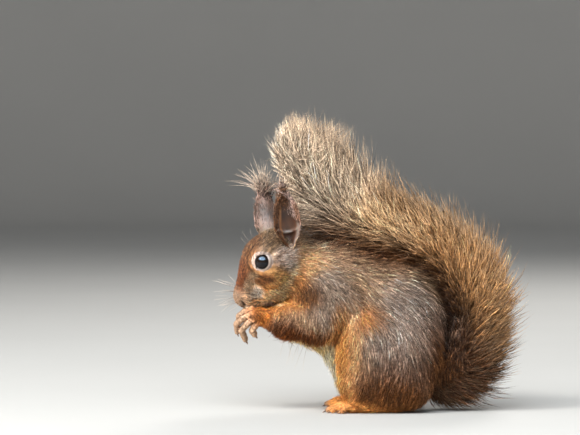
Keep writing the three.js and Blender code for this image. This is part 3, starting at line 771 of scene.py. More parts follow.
# Colour, centre, half lengths, and how soft its border is. Rows of the head count from the nape, before it
# is turned, and lie on both sides alike.
BODY_MARKINGS = (
    ("grey", (24, 30, 50), (34, 40, 34), 0.6),
    ("olive", (12, 0, 103), (34, 24, 14), 0.9),
    # Painted shade: brown over the back where the brush lies on it.
    ("brown", (14, 0, 100), (37, 30, 12.5), 1.3),
    ("olive", (37, 0, 84), (22, 20, 18), 0.7),
    ("brown", (8, 30, 8), (38, 34, 27), 1.3),
    # Painted shade: brown over the haunch's rear, the side turned away from the lamps.
    ("brown", (43, 20, 34), (18, 26, 34), 1.3),
    ("orange", (-12, 32, 60), (14, 20, 9), 1.4),
    ("orange", (-24, 26, 42), (12, 22, 26), 1.0),
    ("orange", (-20, 22, 16), (10, 16, 12), 0.9),
    ("apricot", (-45, 20, 89), (13, 14, 13), 0.9),
    ("orange", (-45, 22, 77), (10, 12, 10), 1.2),
    ("taupe", (-31, 26, 80), (12, 14, 10), 1.2),
    ("taupe", (-26, 26, 64), (14, 14, 16), 0.8),
    ("russet", (-41, 22, 72), (9, 12, 8), 1.3),
    # Partly the elbow's brown and partly painted shade under the arm.
    ("brown", (-39, 26, 45), (16, 20, 8), 0.7),
    # Partly the thigh's own pale orange and partly painted light on its front, which faces the lamps.
    ("apricot", (-18, 27, 41), (8, 22, 22), 1.0),
    ("orange", (-22, 27, 40), (7, 22, 23), 1.2),
    ("orange", (-60, 10, 66), (18, 22, 8), 0.7),
    ("rust", (-56, 12, 54), (17, 20, 7), 1.0),
    # Partly the forearm's rust red and partly painted shade of its underside.
    ("rust", (-50, 12, 47), (20, 24, 8), 0.6),
    ("orange", (-33, 0, 35), (25, 21, 23), 0.3),
    ("cream", (-33, 0, 33), (24, 18, 21), 0.3),
    ("cream", (-60, 0, 52), (14, 9, 14), 0.4),
    ("straw", (-45, 0, 42), (20, 20, 5), 0.6),
    ("rufous", (-72, -8, 60), (13, 17, 9), 0.6),
    ("pink", (-83, -8, 52), (11, 18, 16), 0.7),
    ("orange", (-12, 19, 5), (26, 12, 8), 0.5),
    ("pink", (-38, 19, 2), (9, 14, 6), 0.5),
)
HEAD_MARKINGS = (
    ("russet", (-27, 10, 3), (13, 12, 13), 0.8),
    ("olive", (-12, 0, 12), (20, 30, 20), 0.5),
    ("russet", (-33, 0, 0), (10, 10.5, 22), 0.6),
    ("rust", (-38, 0, -10), (7, 7.5, 12), 0.7),
    ("grey", (-12, 17, 3), (10, 10, 8), 0.8),
    ("ochre", (-22.5, 15, -12), (10.5, 9, 10), 0.8),
    ("brown", (-28.8, 13, -9.8), (6.6, 8, 3.8), 0.7),
    ("olive", (-34, 9.5, -7.8), (2.6, 5, 2.2), 1.2),
    ("orange", (-24.5, 14.5, -16), (7, 6, 2.8), 0.9),
    ("straw", (-21, 12, -22), (7, 10, 6), 0.7),
    ("cream", (-24, 0, -29), (16, 9, 6), 0.5),
    ("pad", (-32, 9, -18.6), (4.6, 6, 4), 0.8),
    ("apricot", (-22.4, 12.5, -20.2), (6, 6, 4), 0.8),
    ("pink", (-41, 0, -24), (6, 6, 7), 0.5),
    ("olive", (-35.8, 6, -15), (3, 5, 5), 1.0),
    ("apricot", (-30, 8, -24.4), (6, 6, 2.6), 0.9),
    ("mauve", (-24, 8, -24.4), (3.6, 5, 1.6), 0.8),
)
# Thin streaks on the head: colour, points on both sides and radius.
STREAKS = (
    ("brown", ((-21, 14.5, 2.5), (-17, 15.5, 6), (-14, 15.5, 9)), 0.7),
    ("brown", ((-20, 15, 0), (-15, 16.5, 2)), 0.5),
    ("dark", ((-32, 9, -3.6), (-33.4, 8.4, -6)), 0.6),
    ("dark", ((-31.6, 10.8, -11.2), (-28.4, 13.3, -13.7), (-25.6, 15, -15.3)), 0.9),
    ("cream", ((-17.3, 13.5, -24.5), (-17.9, 16.7, -16), (-13.6, 16.6, -10.2), (-9, 16.5, -2)), 2.0),
    # Painted shade: the brown line just behind the fold between cheek and neck.
    ("brown", ((-14, 13.5, -24.5), (-14.6, 16.7, -16), (-10.6, 16.6, -10.2), (-6.5, 16.5, -3)), 1.2),
)


def finger_crease_shade(p):
    """Where shade is painted between the fingers: 1 in the creases between two fingers, where both are as
    near, and 0 elsewhere.
    """
    out = np.zeros(len(p))
    near = np.nonzero(HANDS(p) < 2)[0]
    for side in SIDES:
        first, second = np.sort([finger(p[near]) for finger in finger_forms(side)], axis=0)[:2]
        out[near] = np.maximum(out[near], smoothstep(1.1, 0.3, second - first) * smoothstep(1.2, 0.6, first))
    return out


def markings(p):
    """The coat's colour at the points: the ground colour, then each marking laid over it inside its ellipsoid,
    with a wavy border (a few of them painted shade), then the eyes' rings, streaks, whisker spots, painted
    shade in the creases between the fingers, and the folds' colours, darkened as painted shade."""
    out = np.tile(shade("grizzle"), (len(p), 1))
    wave = ripple(p, 11, 1)[:, None] * 0.6 + ripple(p, 4, 2)[:, None] * 0.4
    head = unturned(p) - NAPE
    others = np.minimum.reduce([NECK(p), TRUNK(p), HANDS(p) + 1, *(arm(p) for arm in ARMS.values())])
    is_head = smoothstep(2, -2, HEAD(p) - others + 2)[:, None]
    for rows, q, share in ((BODY_MARKINGS, p, 1), (HEAD_MARKINGS, head, is_head)):
        for name, centre, half, soft in rows:
            d = q - np.array(centre)
            if centre[1] > 0:
                d[:, 1] = np.abs(q[:, 1]) - centre[1]
            k = np.linalg.norm(d / np.array(half), axis=1)[:, None] + 0.1 * wave
            out += (shade(name) - out) * smoothstep(1 + soft / 2, 1 - soft / 2, k) * share

    def stain(tint, mask):
        out[:] += (tint - out) * mask[:, None]

    for side in SIDES:
        stain(shade("ring"), smoothstep(0.99, 0.95, eye_reach(p, side) + 0.02 * ripple(p, 2.5, 3)))
        for name, points, radius in STREAKS:
            streak = head_chain(points, radius, radius * 0.6, side)
            stain(shade(name), 0.8 * smoothstep(radius, -radius, streak(p)))
        for root in whisker_roots(side):
            stain(shade("dark"), 0.8 * smoothstep(0.8, 0.4, np.linalg.norm(p - root, axis=1)))
    # Painted shade: dark brown in the creases between the fingers.
    stain(shade("dark"), 0.9 * finger_crease_shade(p))
    for name, cutter in FACE_CUTS:
        # The fold's own colour, darkened to 0.6 on the lips and to 0.3 in nostrils and ears' holes as painted
        # shade inside the fold.
        tint = shade(name) * (0.6 if name == "mauve" else 0.3)
        stain(tint, 0.85 * smoothstep(0.9, 0.1, cutter(p)))
    return out


# ---- Shader groups and materials ----


def node_group(name, inputs, outputs):
    """A shader node group with its own input and output nodes; inputs and outputs are (name, type) pairs."""
    group = bpy.data.node_groups.new(name, "ShaderNodeTree")
    for label, kind in inputs:
        group.interface.new_socket(label, in_out="INPUT", socket_type=kind)
    for label, kind in outputs:
        group.interface.new_socket(label, in_out="OUTPUT", socket_type=kind)
    return group, group.nodes.new("NodeGroupInput"), group.nodes.new("NodeGroupOutput")


def noise(nodes, links, place, scale):
    texture = nodes.new("ShaderNodeTexNoise")
    texture.inputs["Detail"].default_value = 3.0
    links.new(place, texture.inputs["Vector"])
    if isinstance(scale, float):
        texture.inputs["Scale"].default_value = scale
    else:
        links.new(scale, texture.inputs["Scale"])
    return texture.outputs["Fac"]


def mottled_group():
    """Colour: the given one, made darker and lighter by fine noise. Height: the same noise."""
    group, given, result = node_group(
        "Mottled",
        [("Colour", "NodeSocketColor"), ("Scale", "NodeSocketFloat"), ("Amount", "NodeSocketFloat")],
        [("Colour", "NodeSocketColor"), ("Height", "NodeSocketFloat")],
    )
    nodes, links = group.nodes, group.links
    place = nodes.new("ShaderNodeTexCoord").outputs["Object"]
    grain = noise(nodes, links, place, given.outputs["Scale"])
    spread = nodes.new("ShaderNodeMath")
    spread.operation = "MULTIPLY_ADD"
    links.new(grain, spread.inputs[0])
    links.new(given.outputs["Amount"], spread.inputs[1])
    lift = nodes.new("ShaderNodeMath")
    lift.operation = "MULTIPLY_ADD"
    links.new(given.outputs["Amount"], lift.inputs[0])
    lift.inputs[1].default_value = -0.5
    lift.inputs[2].default_value = 1.0
    links.new(lift.outputs[0], spread.inputs[2])
    tint = nodes.new("ShaderNodeMix")
    tint.data_type = "RGBA"
    tint.blend_type = "MULTIPLY"
    tint.inputs["Factor"].default_value = 1.0
    links.new(given.outputs["Colour"], tint.inputs["A"])
    links.new(spread.outputs[0], tint.inputs["B"])
    links.new(tint.outputs["Result"], result.inputs["Colour"])
    links.new(grain, result.inputs["Height"])
    return group


def new_material(name):
    """A new material, its nodes and links, and its shader."""
    made = bpy.data.materials.new(name)
    made.use_nodes = True
    tree = made.node_tree
    return made, tree.nodes, tree.links, tree.nodes["Principled BSDF"]


def marked_material(name, scale, amount, roughness, bump, **sockets):
    """A material that takes its colour from the piece's markings, mottled, with a bump of the same grain."""
    made, nodes, links, shader = new_material(name)
    markings_node = nodes.new("ShaderNodeVertexColor")
    markings_node.layer_name = "Markings"
    mottle = nodes.new("ShaderNodeGroup")
    mottle.node_tree = bpy.data.node_groups.get("Mottled") or mottled_group()
    mottle.inputs["Scale"].default_value = scale
    mottle.inputs["Amount"].default_value = amount
    links.new(markings_node.outputs["Color"], mottle.inputs["Colour"])
    links.new(mottle.outputs["Colour"], shader.inputs["Base Color"])
    if bump:
        relief = nodes.new("ShaderNodeBump")
        relief.inputs["Strength"].default_value = 1.0
        relief.inputs["Distance"].default_value = bump * MM
        links.new(mottle.outputs["Height"], relief.inputs["Height"])
        links.new(relief.outputs["Normal"], shader.inputs["Normal"])
    shader.inputs["Roughness"].default_value = roughness
    for socket, value in sockets.items():
        shader.inputs[socket.replace("_", " ")].default_value = value
    return made


# ---- Coat ----

# Each region of the coat with the line that its unwrap turns round: a point on it and its direction.
REGIONS = {
    "head": (HEAD, from_nape(-15, 0, -4), unit(at(-0.8, -0.25, -0.55))),
    "neck": (NECK, at(-36, 0, 80), unit(at(-0.8, 0, 0.4))),
    "trunk": (TRUNK, at(0, 0, 50), unit(at(0.7, 0, -0.5))),
    "arm_left": (ARMS[-1], at(-45, -17, 58), unit(at(-0.95, 0.2, -0.2))),
    "arm_right": (ARMS[1], at(-45, 17, 58), unit(at(-0.95, -0.4, -0.2))),
    "haunch_left": (HAUNCHES[-1], at(5, -20, 36), unit(at(0, 0, 1))),
    "haunch_right": (HAUNCHES[1], at(5, 20, 36), unit(at(0, 0, 1))),
}
GUARD_SHARE = 0.12  # of the tufts
HAIR_SIDES = 3
SPIKE_LIMIT = 48000  # in one piece, at 4 triangles each
TUFT_LIMIT = 19500  # in one piece, at 10 triangles each
HAIR_LIMIT = 12000  # in one piece, at 16 triangles each


def spread01(x):
    return 0.01 + 0.97 * (x - x.min()) / max(np.ptp(x), 1e-9)


def unwrap(p, origin, axis):
    """Places on a tube round the axis: the angle about it, and the way along it, both from 0 to 1."""
    side = unit(np.cross(axis, at(0, 1, 0.01)))
    other = np.cross(axis, side)
    d = p - origin
    return np.stack([spread01(np.arctan2(d @ other, d @ side)), spread01(d @ axis)], -1)


def patches(root_uv, count):
    """The OFBake places of hairs: each hair is a patch 0.003 across at its root's place, with its rings one
    above the other and the tip at the top."""
    level = np.append(np.repeat(np.arange(count - 1), HAIR_SIDES), count - 1) / (count - 1)
    turn_share = np.append(np.tile(np.arange(HAIR_SIDES) / (HAIR_SIDES - 1), count - 1), 0.5)
    offset = 0.003 * (np.stack([turn_share, level], -1) - 0.5)
    return root_uv[:, None] + offset


def parted(order, limit):
    return np.array_split(order, max(1, math.ceil(len(order) / limit)))


def lay_hairs(name, paths, up, half, thick, colours, root_uv, material):
    """One piece of hairs, kept above the floor, with a colour for each ring and each tip."""
    points, faces = strands(paths, up, half, thick, HAIR_SIDES)
    points[..., 2] = np.maximum(points[..., 2], FLOOR + 0.15)
    rings = np.repeat(colours[:, :-1], HAIR_SIDES, axis=1)
    painted = np.concatenate([rings, colours[:, -1:]], 1)
    return new_object(name, points, faces, material, painted, patches(root_uv, paths.shape[1]))


def growth(p):
    """How thickly tufts grow: 1 on most of the skin, less on the feet, hardly at all on the fingers, and 0 on
    the eyes, the lips, the nostrils, the tail's core and the soles."""
    grows = np.ones(len(p))
    for side in SIDES:
        grows *= smoothstep(0.96, 1.0, eye_reach(p, side))
    for _, cutter in FACE_CUTS:
        grows *= smoothstep(0.4, 0.8, cutter(p))
    on_rump = smoothstep(60, 50, p[:, 0]) * smoothstep(64, 56, p[:, 2])
    grows *= np.maximum(on_rump, smoothstep(1.5, 0.0, COAT_FORM(p) - TAIL_CORE(p) - 2.5))
    fingers = np.minimum.reduce([finger(p) for side in SIDES for finger in finger_forms(side)])
    grows *= np.where(fingers < 0.5, 0.02, np.where(FEET(p) < 0.4, 0.4, 1))
    return grows * (p[:, 2] > FLOOR + 0.8)


def comb(roots, normals, draw):
    """The way, length, width and depth of each tuft at the roots: the coat's lie laid on the skin, shorter
    and brushed outwards round the eyes, and made uneven in locks."""
    values = lie(roots)
    way = values[:, :3]
    for side in SIDES:
        away = roots - eye_centre(side)
        near = smoothstep(1.5, 1.05, eye_reach(roots, side))[:, None]
        way = way * (1 - near) + unit(away) * near
        values[:, LENGTH:] *= 1 - 0.5 * near
    way = unit(way - normals * (way * normals).sum(1, keepdims=True))
    swing = 0.16 * ripple(roots, 7, 5) + 0.1 * ripple(roots, 2.4, 6) + draw.normal(0, 0.12, len(roots))
    way = way * np.cos(swing)[:, None] + np.cross(normals, way) * np.sin(swing)[:, None]
    return way, values[:, LENGTH], values[:, WIDTH], values[:, DEPTH]


def streaks(p, way, wavelength, reach, seed):
    """Uneven tone drawn out along the hair: a ripple added up at seven places before and behind the point,
    and made a quarter as strong."""
    return sum(ripple(p + step * way, wavelength, seed) for step in np.linspace(-reach, reach, 7)) * 0.25


def locks_of(p, way, length):
    """The tone of each lock of hair at the points, around 1: short specks where the hair is short, and
    longer streaks on the body."""
    coarse = smoothstep(2.2, 4.5, length)
    lock = streaks(p, way, 1.5, 1.3, 7) * (1 - coarse) + streaks(p, way, 1.7, 2.2, 9) * coarse
    return np.exp((0.6 * smoothstep(0.6, 1.6, length) - 0.12 * coarse) * lock)[:, None]


def ticking(base, draw, amount):
    """Colours of root, middle and tip for each tuft: dark at the root, partly the darker base of agouti hair
    and partly painted shade deep in the coat, with the ticked tips of an agouti coat, some pale and some
    nearly black."""
    n = len(base)
    amount = np.asarray(amount)[:, None]
    tone = np.exp(draw.normal(0, 0.42, (n, 1)) * amount)
    kind = draw.random((n, 1))
    pale, black = kind < 0.26, kind > 0.76
    # The root's darkening: partly the hair's own darker base, partly painted shade among the hairs.
    low = base * tone * (1 - 0.7 * amount) * np.where(black, 0.6, 1)
    middle = base * tone * np.where(black, 1 - 0.72 * amount, np.where(pale, 1.05, 1 - 0.12 * amount))
    tip = base * tone * np.where(black, 1 - 0.8 * amount, np.where(pale, 1 + 0.5 * amount, 1 + 0.15 * amount))
    return np.clip(np.stack([low, middle, tip], 1), 0, 0.95)


def build_coat(points, quads, normals, count, material):
    """Tufts strewn over the skin, closer where they are small. Most are straight spikes with a ring at the
    root. The guard hairs among them are longer, have a ring half way too and bend over."""
    draw = np.random.default_rng(11)
    corners = np.concatenate([quads[:, [0, 1, 2]], quads[:, [0, 2, 3]]])
    a, b, c = (points[corners[:, i]] for i in range(3))
    area = np.linalg.norm(np.cross(b - a, c - a), axis=1) / 2
    middle = (a + b + c) / 3
    sizes = lie(middle)
    weight = area / (sizes[:, LENGTH] * sizes[:, WIDTH]) * growth(middle)
    pick = draw.choice(len(corners), count, p=weight / weight.sum())
    u, v = draw.random((2, count, 1))
    over = u + v > 1
    u, v = np.where(over, 1 - u, u), np.where(over, 1 - v, v)
    roots = a[pick] + (b - a)[pick] * u + (c - a)[pick] * v
    up = unit(normals[corners[pick]].mean(1))
    way, length, width, depth = comb(roots, up, draw)
    guard = draw.random(count) < GUARD_SHARE
    length = length * draw.uniform(0.7, 1.25, count) * np.where(guard, 1.5, 1)
    rise = depth * np.exp(draw.normal(0, 0.28, count)) * np.where(guard, 1.05, 0.9)
    t = np.array([-0.07, 0.45, 1.0])[:, None]
    forward = (length[:, None, None] * t) * way[:, None]
    height = rise[:, None, None] * (1.95 * t - t * t) - np.where(t < 0, 0.12, 0)
    paths = roots[:, None] + forward + height * up[:, None]
    half = (width * draw.uniform(0.7, 1.2, count) * np.where(guard, 0.8, 1))[:, None]
    half = half * np.array([0.4, 0.5, 0.0])
    clump = locks_of(roots, way, length) * (1 + 0.08 * ripple(roots, 6, 8))[:, None]
    shades = ticking(markings(roots) * clump, draw, np.interp(length, (0.5, 2.2), (0.7, 1)))
    forms = np.stack([field(roots) for field, _, _ in REGIONS.values()], 1)
    region = forms.argmin(1)
    for index, (name, (_, origin, axis)) in enumerate(REGIONS.items()):
        for kind, chosen, levels, limit in (
            ("coat", ~guard, (0, 2), SPIKE_LIMIT),
            ("guard", guard, (0, 1, 2), TUFT_LIMIT),
        ):
            mine = np.nonzero(chosen & (region == index))[0]
            if not len(mine):
                continue
            uv = unwrap(roots[mine], origin, axis)
            order = np.argsort(uv[:, 1], kind="stable")
            for number, part in enumerate(parted(order, limit), 1):
                take = mine[part]
                root_uv = np.stack([spread01(uv[part, 0]), spread01(uv[part, 1])], -1)
                rings = half[take][:, levels]
                painted = shades[take]
                if kind == "coat":
                    painted[:, 0] = (painted[:, 0] + painted[:, 1]) / 2
                lay_hairs(
                    f"{kind}_{name}_{number}", paths[take][:, levels], up[take], rings, rings * 0.8,
                    painted[:, levels], root_uv, material,
                )  # fmt: skip


# ---- The brush ----


def brush_colour(t, out):
    """Colour of the brush's hair at t along the tail and out from its back edge: dark at the root, dark beside
    the back partly as painted shade where the brush lies against the back, golden further on, buff along its
    middle, browner along its outer edge, and creamy grey at the end."""
    t, out = t[:, None], out[:, None]
    body = mix(shade("dark"), shade("tail"), smoothstep(0.2, 0.42, t + 0.12 * (out - 0.7)))
    band = smoothstep(0.5, 0.66, t) * smoothstep(0.08, 0.3, out) * smoothstep(0.9, 0.6, out)
    body = mix(body, shade("blond"), band)
    body = body * (1 - 0.55 * smoothstep(0.62, 0.95, out) * smoothstep(0.4, 0.55, t))
    end = smoothstep(0.67, 0.82, t) * (0.9 - 0.45 * smoothstep(0.6, 0.95, out))
    body = mix(body, shade("silver"), end)
    # Dark beside the back: partly the brush's own dark edge, partly painted shade where it lies against the
    # back.
    edge = shade("dark") * (0.5 + 0.5 * smoothstep(0.3, 0.7, t))
    edge = mix(edge, body, smoothstep(0.72, 0.86, t))
    return mix(edge, body, smoothstep(0.08, 0.42, out))


def build_brush(count, material):
    """Hairs from the bone out to the brush's outline, each a curve with one bend, swept towards the tip. u
    and v are its place in the section: sideways, and from -1 at the outer edge to 1 beside the back. The
    outermost have more rings."""
    draw = np.random.default_rng(23)
    t = draw.uniform(0.0, 0.94, count)
    fan = draw.uniform(-1, 1, count) * math.pi
    u, v = np.sin(fan), -np.cos(fan)
    middle, _, inward, depth, width = brush_frame(t)
    across = np.tile(at(0, 1, 0), (count, 1))
    bone = middle + inward * (0.42 * depth)[:, None]
    ball = (depth * np.interp(t, CORE_PLACES, (0.4, 0.34, 0.3, 0.08)))[:, None]
    root = bone + (across * u[:, None] * 1.1 + inward * v[:, None]) * ball
    reach = depth * 1.4 * np.clip(-v, 0.3, 1) + width * 0.7 * np.abs(u)
    speed = np.linalg.norm(brush_frame(t + 0.01)[0] - middle, axis=1) / 0.01
    sweep = np.interp(t, (0, 0.15, 0.4, 0.6, 0.8, 1), (0.45, 0.55, 0.6, 0.7, 0.8, 0.8))
    ahead = t + sweep * reach * draw.uniform(0.6, 1.35, count) / speed
    ahead = np.minimum(ahead, draw.uniform(0.86, 0.985, count))
    middle2, way2, inward2, depth2, width2 = brush_frame(ahead)
    blunt = np.sqrt(np.maximum(0.25, 1 - np.abs(2 * ahead - 1) ** 12))
    loose = smoothstep(0.7, 0.92, ahead)
    fill = draw.uniform(0.35, 1.0, count) ** (0.6 + 0.8 * loose)
    outer = fill > 0.8
    stray = draw.random(count) < 0.1 + 0.08 * loose
    fill = np.where(stray, 0.95 + 0.48 * draw.random(count) ** 1.3, fill)
    side = across * (u * width2 * blunt * (1 - TAIL_LEAN * v) * np.minimum(fill, 1.1))[:, None]
    near_tip = smoothstep(0.8, 0.92, ahead)
    inner = 1 + (0.35 + 0.2 * smoothstep(0.6, 0.72, ahead) - 0.75 * near_tip) * smoothstep(0.1, 0.8, v)
    inner *= np.where(stray & (v > 0.2), 0.8, 1)
    drawn_in = 0.1 * smoothstep(0.5, 0.7, ahead) + 0.2 * smoothstep(0.7, 0.86, ahead)
    inner -= drawn_in * smoothstep(0.1, -0.6, v)
    tip = middle2 + side + inward2 * (v * depth2 * blunt * fill * inner)[:, None]
    locks = np.stack([ripple(tip, 8, seed) for seed in (51, 52, 53)], -1)
    fine_locks = np.stack([ripple(tip, 3.5, seed) for seed in (54, 55, 56)], -1)
    tip = tip + 1.6 * locks + 0.8 * fine_locks + draw.normal(0, 0.8, (count, 3))
    span = np.linalg.norm(tip - root, axis=1, keepdims=True)
    outward = unit(across * u[:, None] + inward2 * v[:, None])
    bend = root + (tip - root) * 0.5 + way2 * span * draw.normal(-0.06, 0.06, (count, 1))
    bend += outward * span * draw.normal(0.03, 0.05, (count, 1))
    bend += unit(np.cross(tip - root, outward)) * span * draw.normal(0, 0.14, (count, 1))
    tone = np.exp(draw.normal(0, 0.3, count) + 0.42 * ripple(tip, 2.4, 57))[:, None]
    kind = draw.random(count)[:, None]
    out = clamp01(0.5 - 0.5 * v)
    low = brush_colour(t, out * 0.6) * 0.3 * tone
    black = kind < 0.3 + 0.15 * loose[:, None]
    centre = brush_colour((t + ahead) / 2, out) * tone * np.where(black, 0.4, 0.8)
    tip_colour = brush_colour(ahead, out)
    upper = tip_colour * tone * np.where(black, 0.35, 1.0)
    end = mix(tip_colour, shade("blond"), 0.35 * smoothstep(0.2, 0.6, out)[:, None]) * tone
    end = end * np.where(kind > 0.8, 1.35, np.where(kind < 0.22, 0.45, 1.05))
    shades = np.clip(np.stack([low, centre, upper, end], 1), 0, 0.95)
    half = draw.uniform(0.13, 0.23, count)[:, None] * np.where(stray, 1.3, 1.0)[:, None]
    half = half * np.array([0.8, 1.0, 0.72, 0.0])
    number = 0
    for kept, levels in ((outer, (0, 1, 2, 3)), (~outer, (0, 2, 3))):
        s = np.array([0.0, 0.4, 0.75, 1.0])[list(levels), None]
        paths = root[:, None] * (1 - s) ** 2 + bend[:, None] * (2 * s * (1 - s)) + tip[:, None] * s**2
        order = np.nonzero(kept)[0][np.argsort(t[kept], kind="stable")]
        for part in parted(order, HAIR_LIMIT):
            number += 1
            root_uv = np.stack([spread01(fan[part]), spread01(t[part])], -1)
            rings = half[part][:, levels]
            lay_hairs(
                f"brush_{number}", paths[part], outward[part], rings, rings * 0.8,
                shades[part][:, levels], root_uv, material,
            )  # fmt: skip


# ---- Grids ----


def grid_faces(rows, columns, round_rows=False):
    """Four-sided faces of a grid of points, row after row. Each row goes round, and the last row is joined to
    the first where round_rows is set."""
    i = np.arange(rows if round_rows else rows - 1)[:, None]
    j = np.arange(columns)
    i2, j2 = (i + 1) % rows, (j + 1) % columns
    quad = [i * columns + j, i * columns + j2, i2 * columns + j2, i2 * columns + j]
    return np.stack(quad, -1).reshape(-1, 4)


def closed_tube(points, flip=False):
    """A stack of rings closed by a point at each end: the points with the two ends added, and the faces as
    four-sided and three-sided arrays, turned over where flip is set."""
    rows, columns, _ = points.shape
    ends = np.stack([points[0].mean(0), points[-1].mean(0)])
    j = np.arange(columns)
    k = (j + 1) % columns
    low, high = rows * columns, rows * columns + 1
    last = (rows - 1) * columns
    fans = np.concatenate([
        np.stack([k, j, np.full(columns, low)], -1),
        np.stack([last + j, last + k, np.full(columns, high)], -1),
    ])  # fmt: skip
    quads = grid_faces(rows, columns)
    if flip:
        quads, fans = quads[:, ::-1], fans[:, ::-1]
    return np.concatenate([points.reshape(-1, 3), ends]), [quads, fans]


# ---- Ears ----


def table(rows, s):
    """Reads (place, value) rows at s, half way between straight and smooth."""
    rows = np.array(rows)
    s = np.asarray(s, float)
    i = np.clip(np.searchsorted(rows[:, 0], s) - 1, 0, len(rows) - 2)
    t = clamp01((s - rows[i, 0]) / (rows[i + 1, 0] - rows[i, 0]))
    t = (t + t * t * (3 - 2 * t)) / 2
    return mix(rows[i, 1], rows[i + 1, 1], t)


EAR_WIDTH = (
    (0, 2.4), (0.15, 4.6), (0.3, 7.0), (0.45, 8.1), (0.6, 7.9), (0.75, 7.0), (0.87, 5.4), (0.95, 3.4), (1, 1),
)  # fmt: skip
EAR_WRAP = ((0, 2.1), (0.3, 1.6), (0.7, 1.1), (1, 0.7))
EAR_FORWARD = 1.2  # how far the tip leans to the front


def above_lobe(s, q):
    """How far above the line of the lobe a place is, as a share of the ear."""
    return s - 0.33 + 0.04 * np.cos(3 * q)


def ear_place(side, s, q, layer):
    """A place on the ear: s from its foot to its tip, q from its front edge to its back edge, and layer
    millimetres out of its middle sheet, away from the opening. The sheet is an arc round the opening."""
    base = from_nape(-12.5, 12.5 * side, 12)
    up = unit(at(-0.12, 0.2 * side, 1))
    back = unit(at(0.2, -side, 0))
    across = unit(np.cross(up, back)) * side
    back = unit(np.cross(across, up)) * side
    angle = table(EAR_WRAP, s)
    radius = table(EAR_WIDTH, s) * 0.94 / np.sin(np.minimum(angle, math.pi / 2))
    r = radius + layer
    drawn_in = 3.5 * smoothstep(0.38, 0.08, s) * clamp01(-q)  # the front edge runs in to the hole
    p = (
        base
        + up * ((s - 0.12) * EAR_LENGTH * 0.84 * (1 - 0.1 * q * q * s))[..., None]
        + across * (r * np.sin(q * angle) - EAR_FORWARD * s * s + drawn_in)[..., None]
        + back * (r * np.cos(q * angle) - radius * np.cos(angle * 0.5))[..., None]
    )
    return on_head(p)


def ear_colours(s, q, layer, side):
    """Inside, dark skin with a pale lobe over the ear's hole, a pale rear rim and an orange front rim;
    outside, fur that is dark brown in front and mauve grey behind, with a silver foot on the right ear."""
    inside = smoothstep(0.1, -0.25, layer)[..., None]
    s, q = s[..., None], q[..., None]
    skin = shade("mauve") * 0.05 * smoothstep(0.5, 0.36, s)
    skin = skin + shade("rufous") * 0.11 * (1 - 0.4 * smoothstep(0.4, 0.6, s))
    skin = skin * (1 + 0.25 * np.sin(21 * s + 5 * q) * np.sin(9 * q - 6 * s))
    hole = smoothstep(0.34, 0.3, s) * smoothstep(0.7, 0.3, np.abs(q - 0.1))
    lobe = smoothstep(0.024, 0.01, np.abs(above_lobe(s, q))) * smoothstep(0.7, 0.4, np.abs(q + 0.1))
    rear_rim = smoothstep(0.6, 0.82, q) * smoothstep(0.55, 0.42, s)
    front_rim = smoothstep(-0.28, -0.38, q) * smoothstep(-0.58, -0.44, q)
    for name, strength, mask in (
        ("rust", 0.32, hole),
        ("ring", 0.55, lobe),
        ("ring", 0.5, rear_rim),
        ("orange", 0.4, front_rim),
        ("dark", 1, smoothstep(-0.42, -0.52, q)),
    ):
        skin = mix(skin, shade(name) * strength, mask)
    fur = mix(shade("mauve") * 0.7, shade("grizzle") * 0.8, smoothstep(0.4, 0.0, s))
    if side > 0:
        silver = (shade("silver") * 0.8 - fur) * smoothstep(0.45, 0.1, s)
        fur = fur * (0.66 + 0.34 * np.sin(16 * s + 2 * q + 2)) + silver
    rear = smoothstep(0.55, 0.9, q) * smoothstep(0.4, 0.46, s) * smoothstep(0.9, 0.7, s)
    fur = mix(fur, shade("brown"), rear * (0 if side > 0 else 0.6))
    front = smoothstep(-0.3, -0.7, q - 0.9 * smoothstep(0.5, 0.7, s) * smoothstep(1.05, 0.9, s))
    fur = mix(fur, shade("dark"), front * (0.3 if side > 0 else 1))
    return mix(fur, skin, inside)


def build_ear(side, material):
    """The ear's blade: rings round it from foot to tip, each a flat ellipse bent to the ear's arc, with the
    lobe raised on its inner face and the hole sunk below it."""
    rows, columns = 90, 72
    s = np.linspace(0, 1, rows)[:, None]
    a = np.linspace(0, 2 * math.pi, columns, endpoint=False)[None]
    q, lift = -np.cos(a), np.sin(a)
    s, q, lift = (np.broadcast_to(x, (rows, columns)) for x in (s, q, lift))
    thickness = 0.6 * np.sqrt(np.maximum(0.06, 1 - s**6))
    lobe = np.exp(-((above_lobe(s, q) / 0.025) ** 2)) * smoothstep(0.95, 0.6, np.abs(q))
    hole = np.exp(-(((s - 0.22) / 0.07) ** 2) - ((q - 0.1) / 0.35) ** 2)
    layer = thickness * lift + (0.9 * hole - 1.1 * lobe) * smoothstep(0, -0.5, lift)
    points, faces = closed_tube(ear_place(side, s, q, layer), flip=side < 0)
    colours = ear_colours(s, q, lift, side).reshape(-1, 3)
    colours = np.concatenate([colours, colours[:1], colours[-1:]])
    made = new_object(f"ear_blade_{SIDE_NAMES[side]}", points, faces, material, colours)
    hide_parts(f"ear_{SIDE_NAMES[side]}")


# Patches of fur on the ear: share of the hairs, s from and to, q from and to, the face that they grow on
# (-1 the inner), 1 where the long tuft's hairs stand, and how much lower the patch starts at its last q.
EAR_FUR = (
    (0.24, (0.0, 1.0), (-1.0, 1.0), 1, 0, 0),
    (0.12, (0.05, 1.0), (0.96, 1.0), 1, 0, 0),
    (0.2, (0.1, 1.0), (-1.0, -0.5), -1, 0, 0),
    (0.32, (0.68, 1.0), (-0.6, 1.0), -1, 0, 0.26),
    (0.06, (0.15, 1.0), (-1.0, -0.96), 1, 0, 0),
    (0.03, (0.8, 1.0), (-1.0, 1.0), 1, 1, 0),
    (0.03, (0.8, 1.0), (-1.0, 1.0), -1, 1, 0),
)


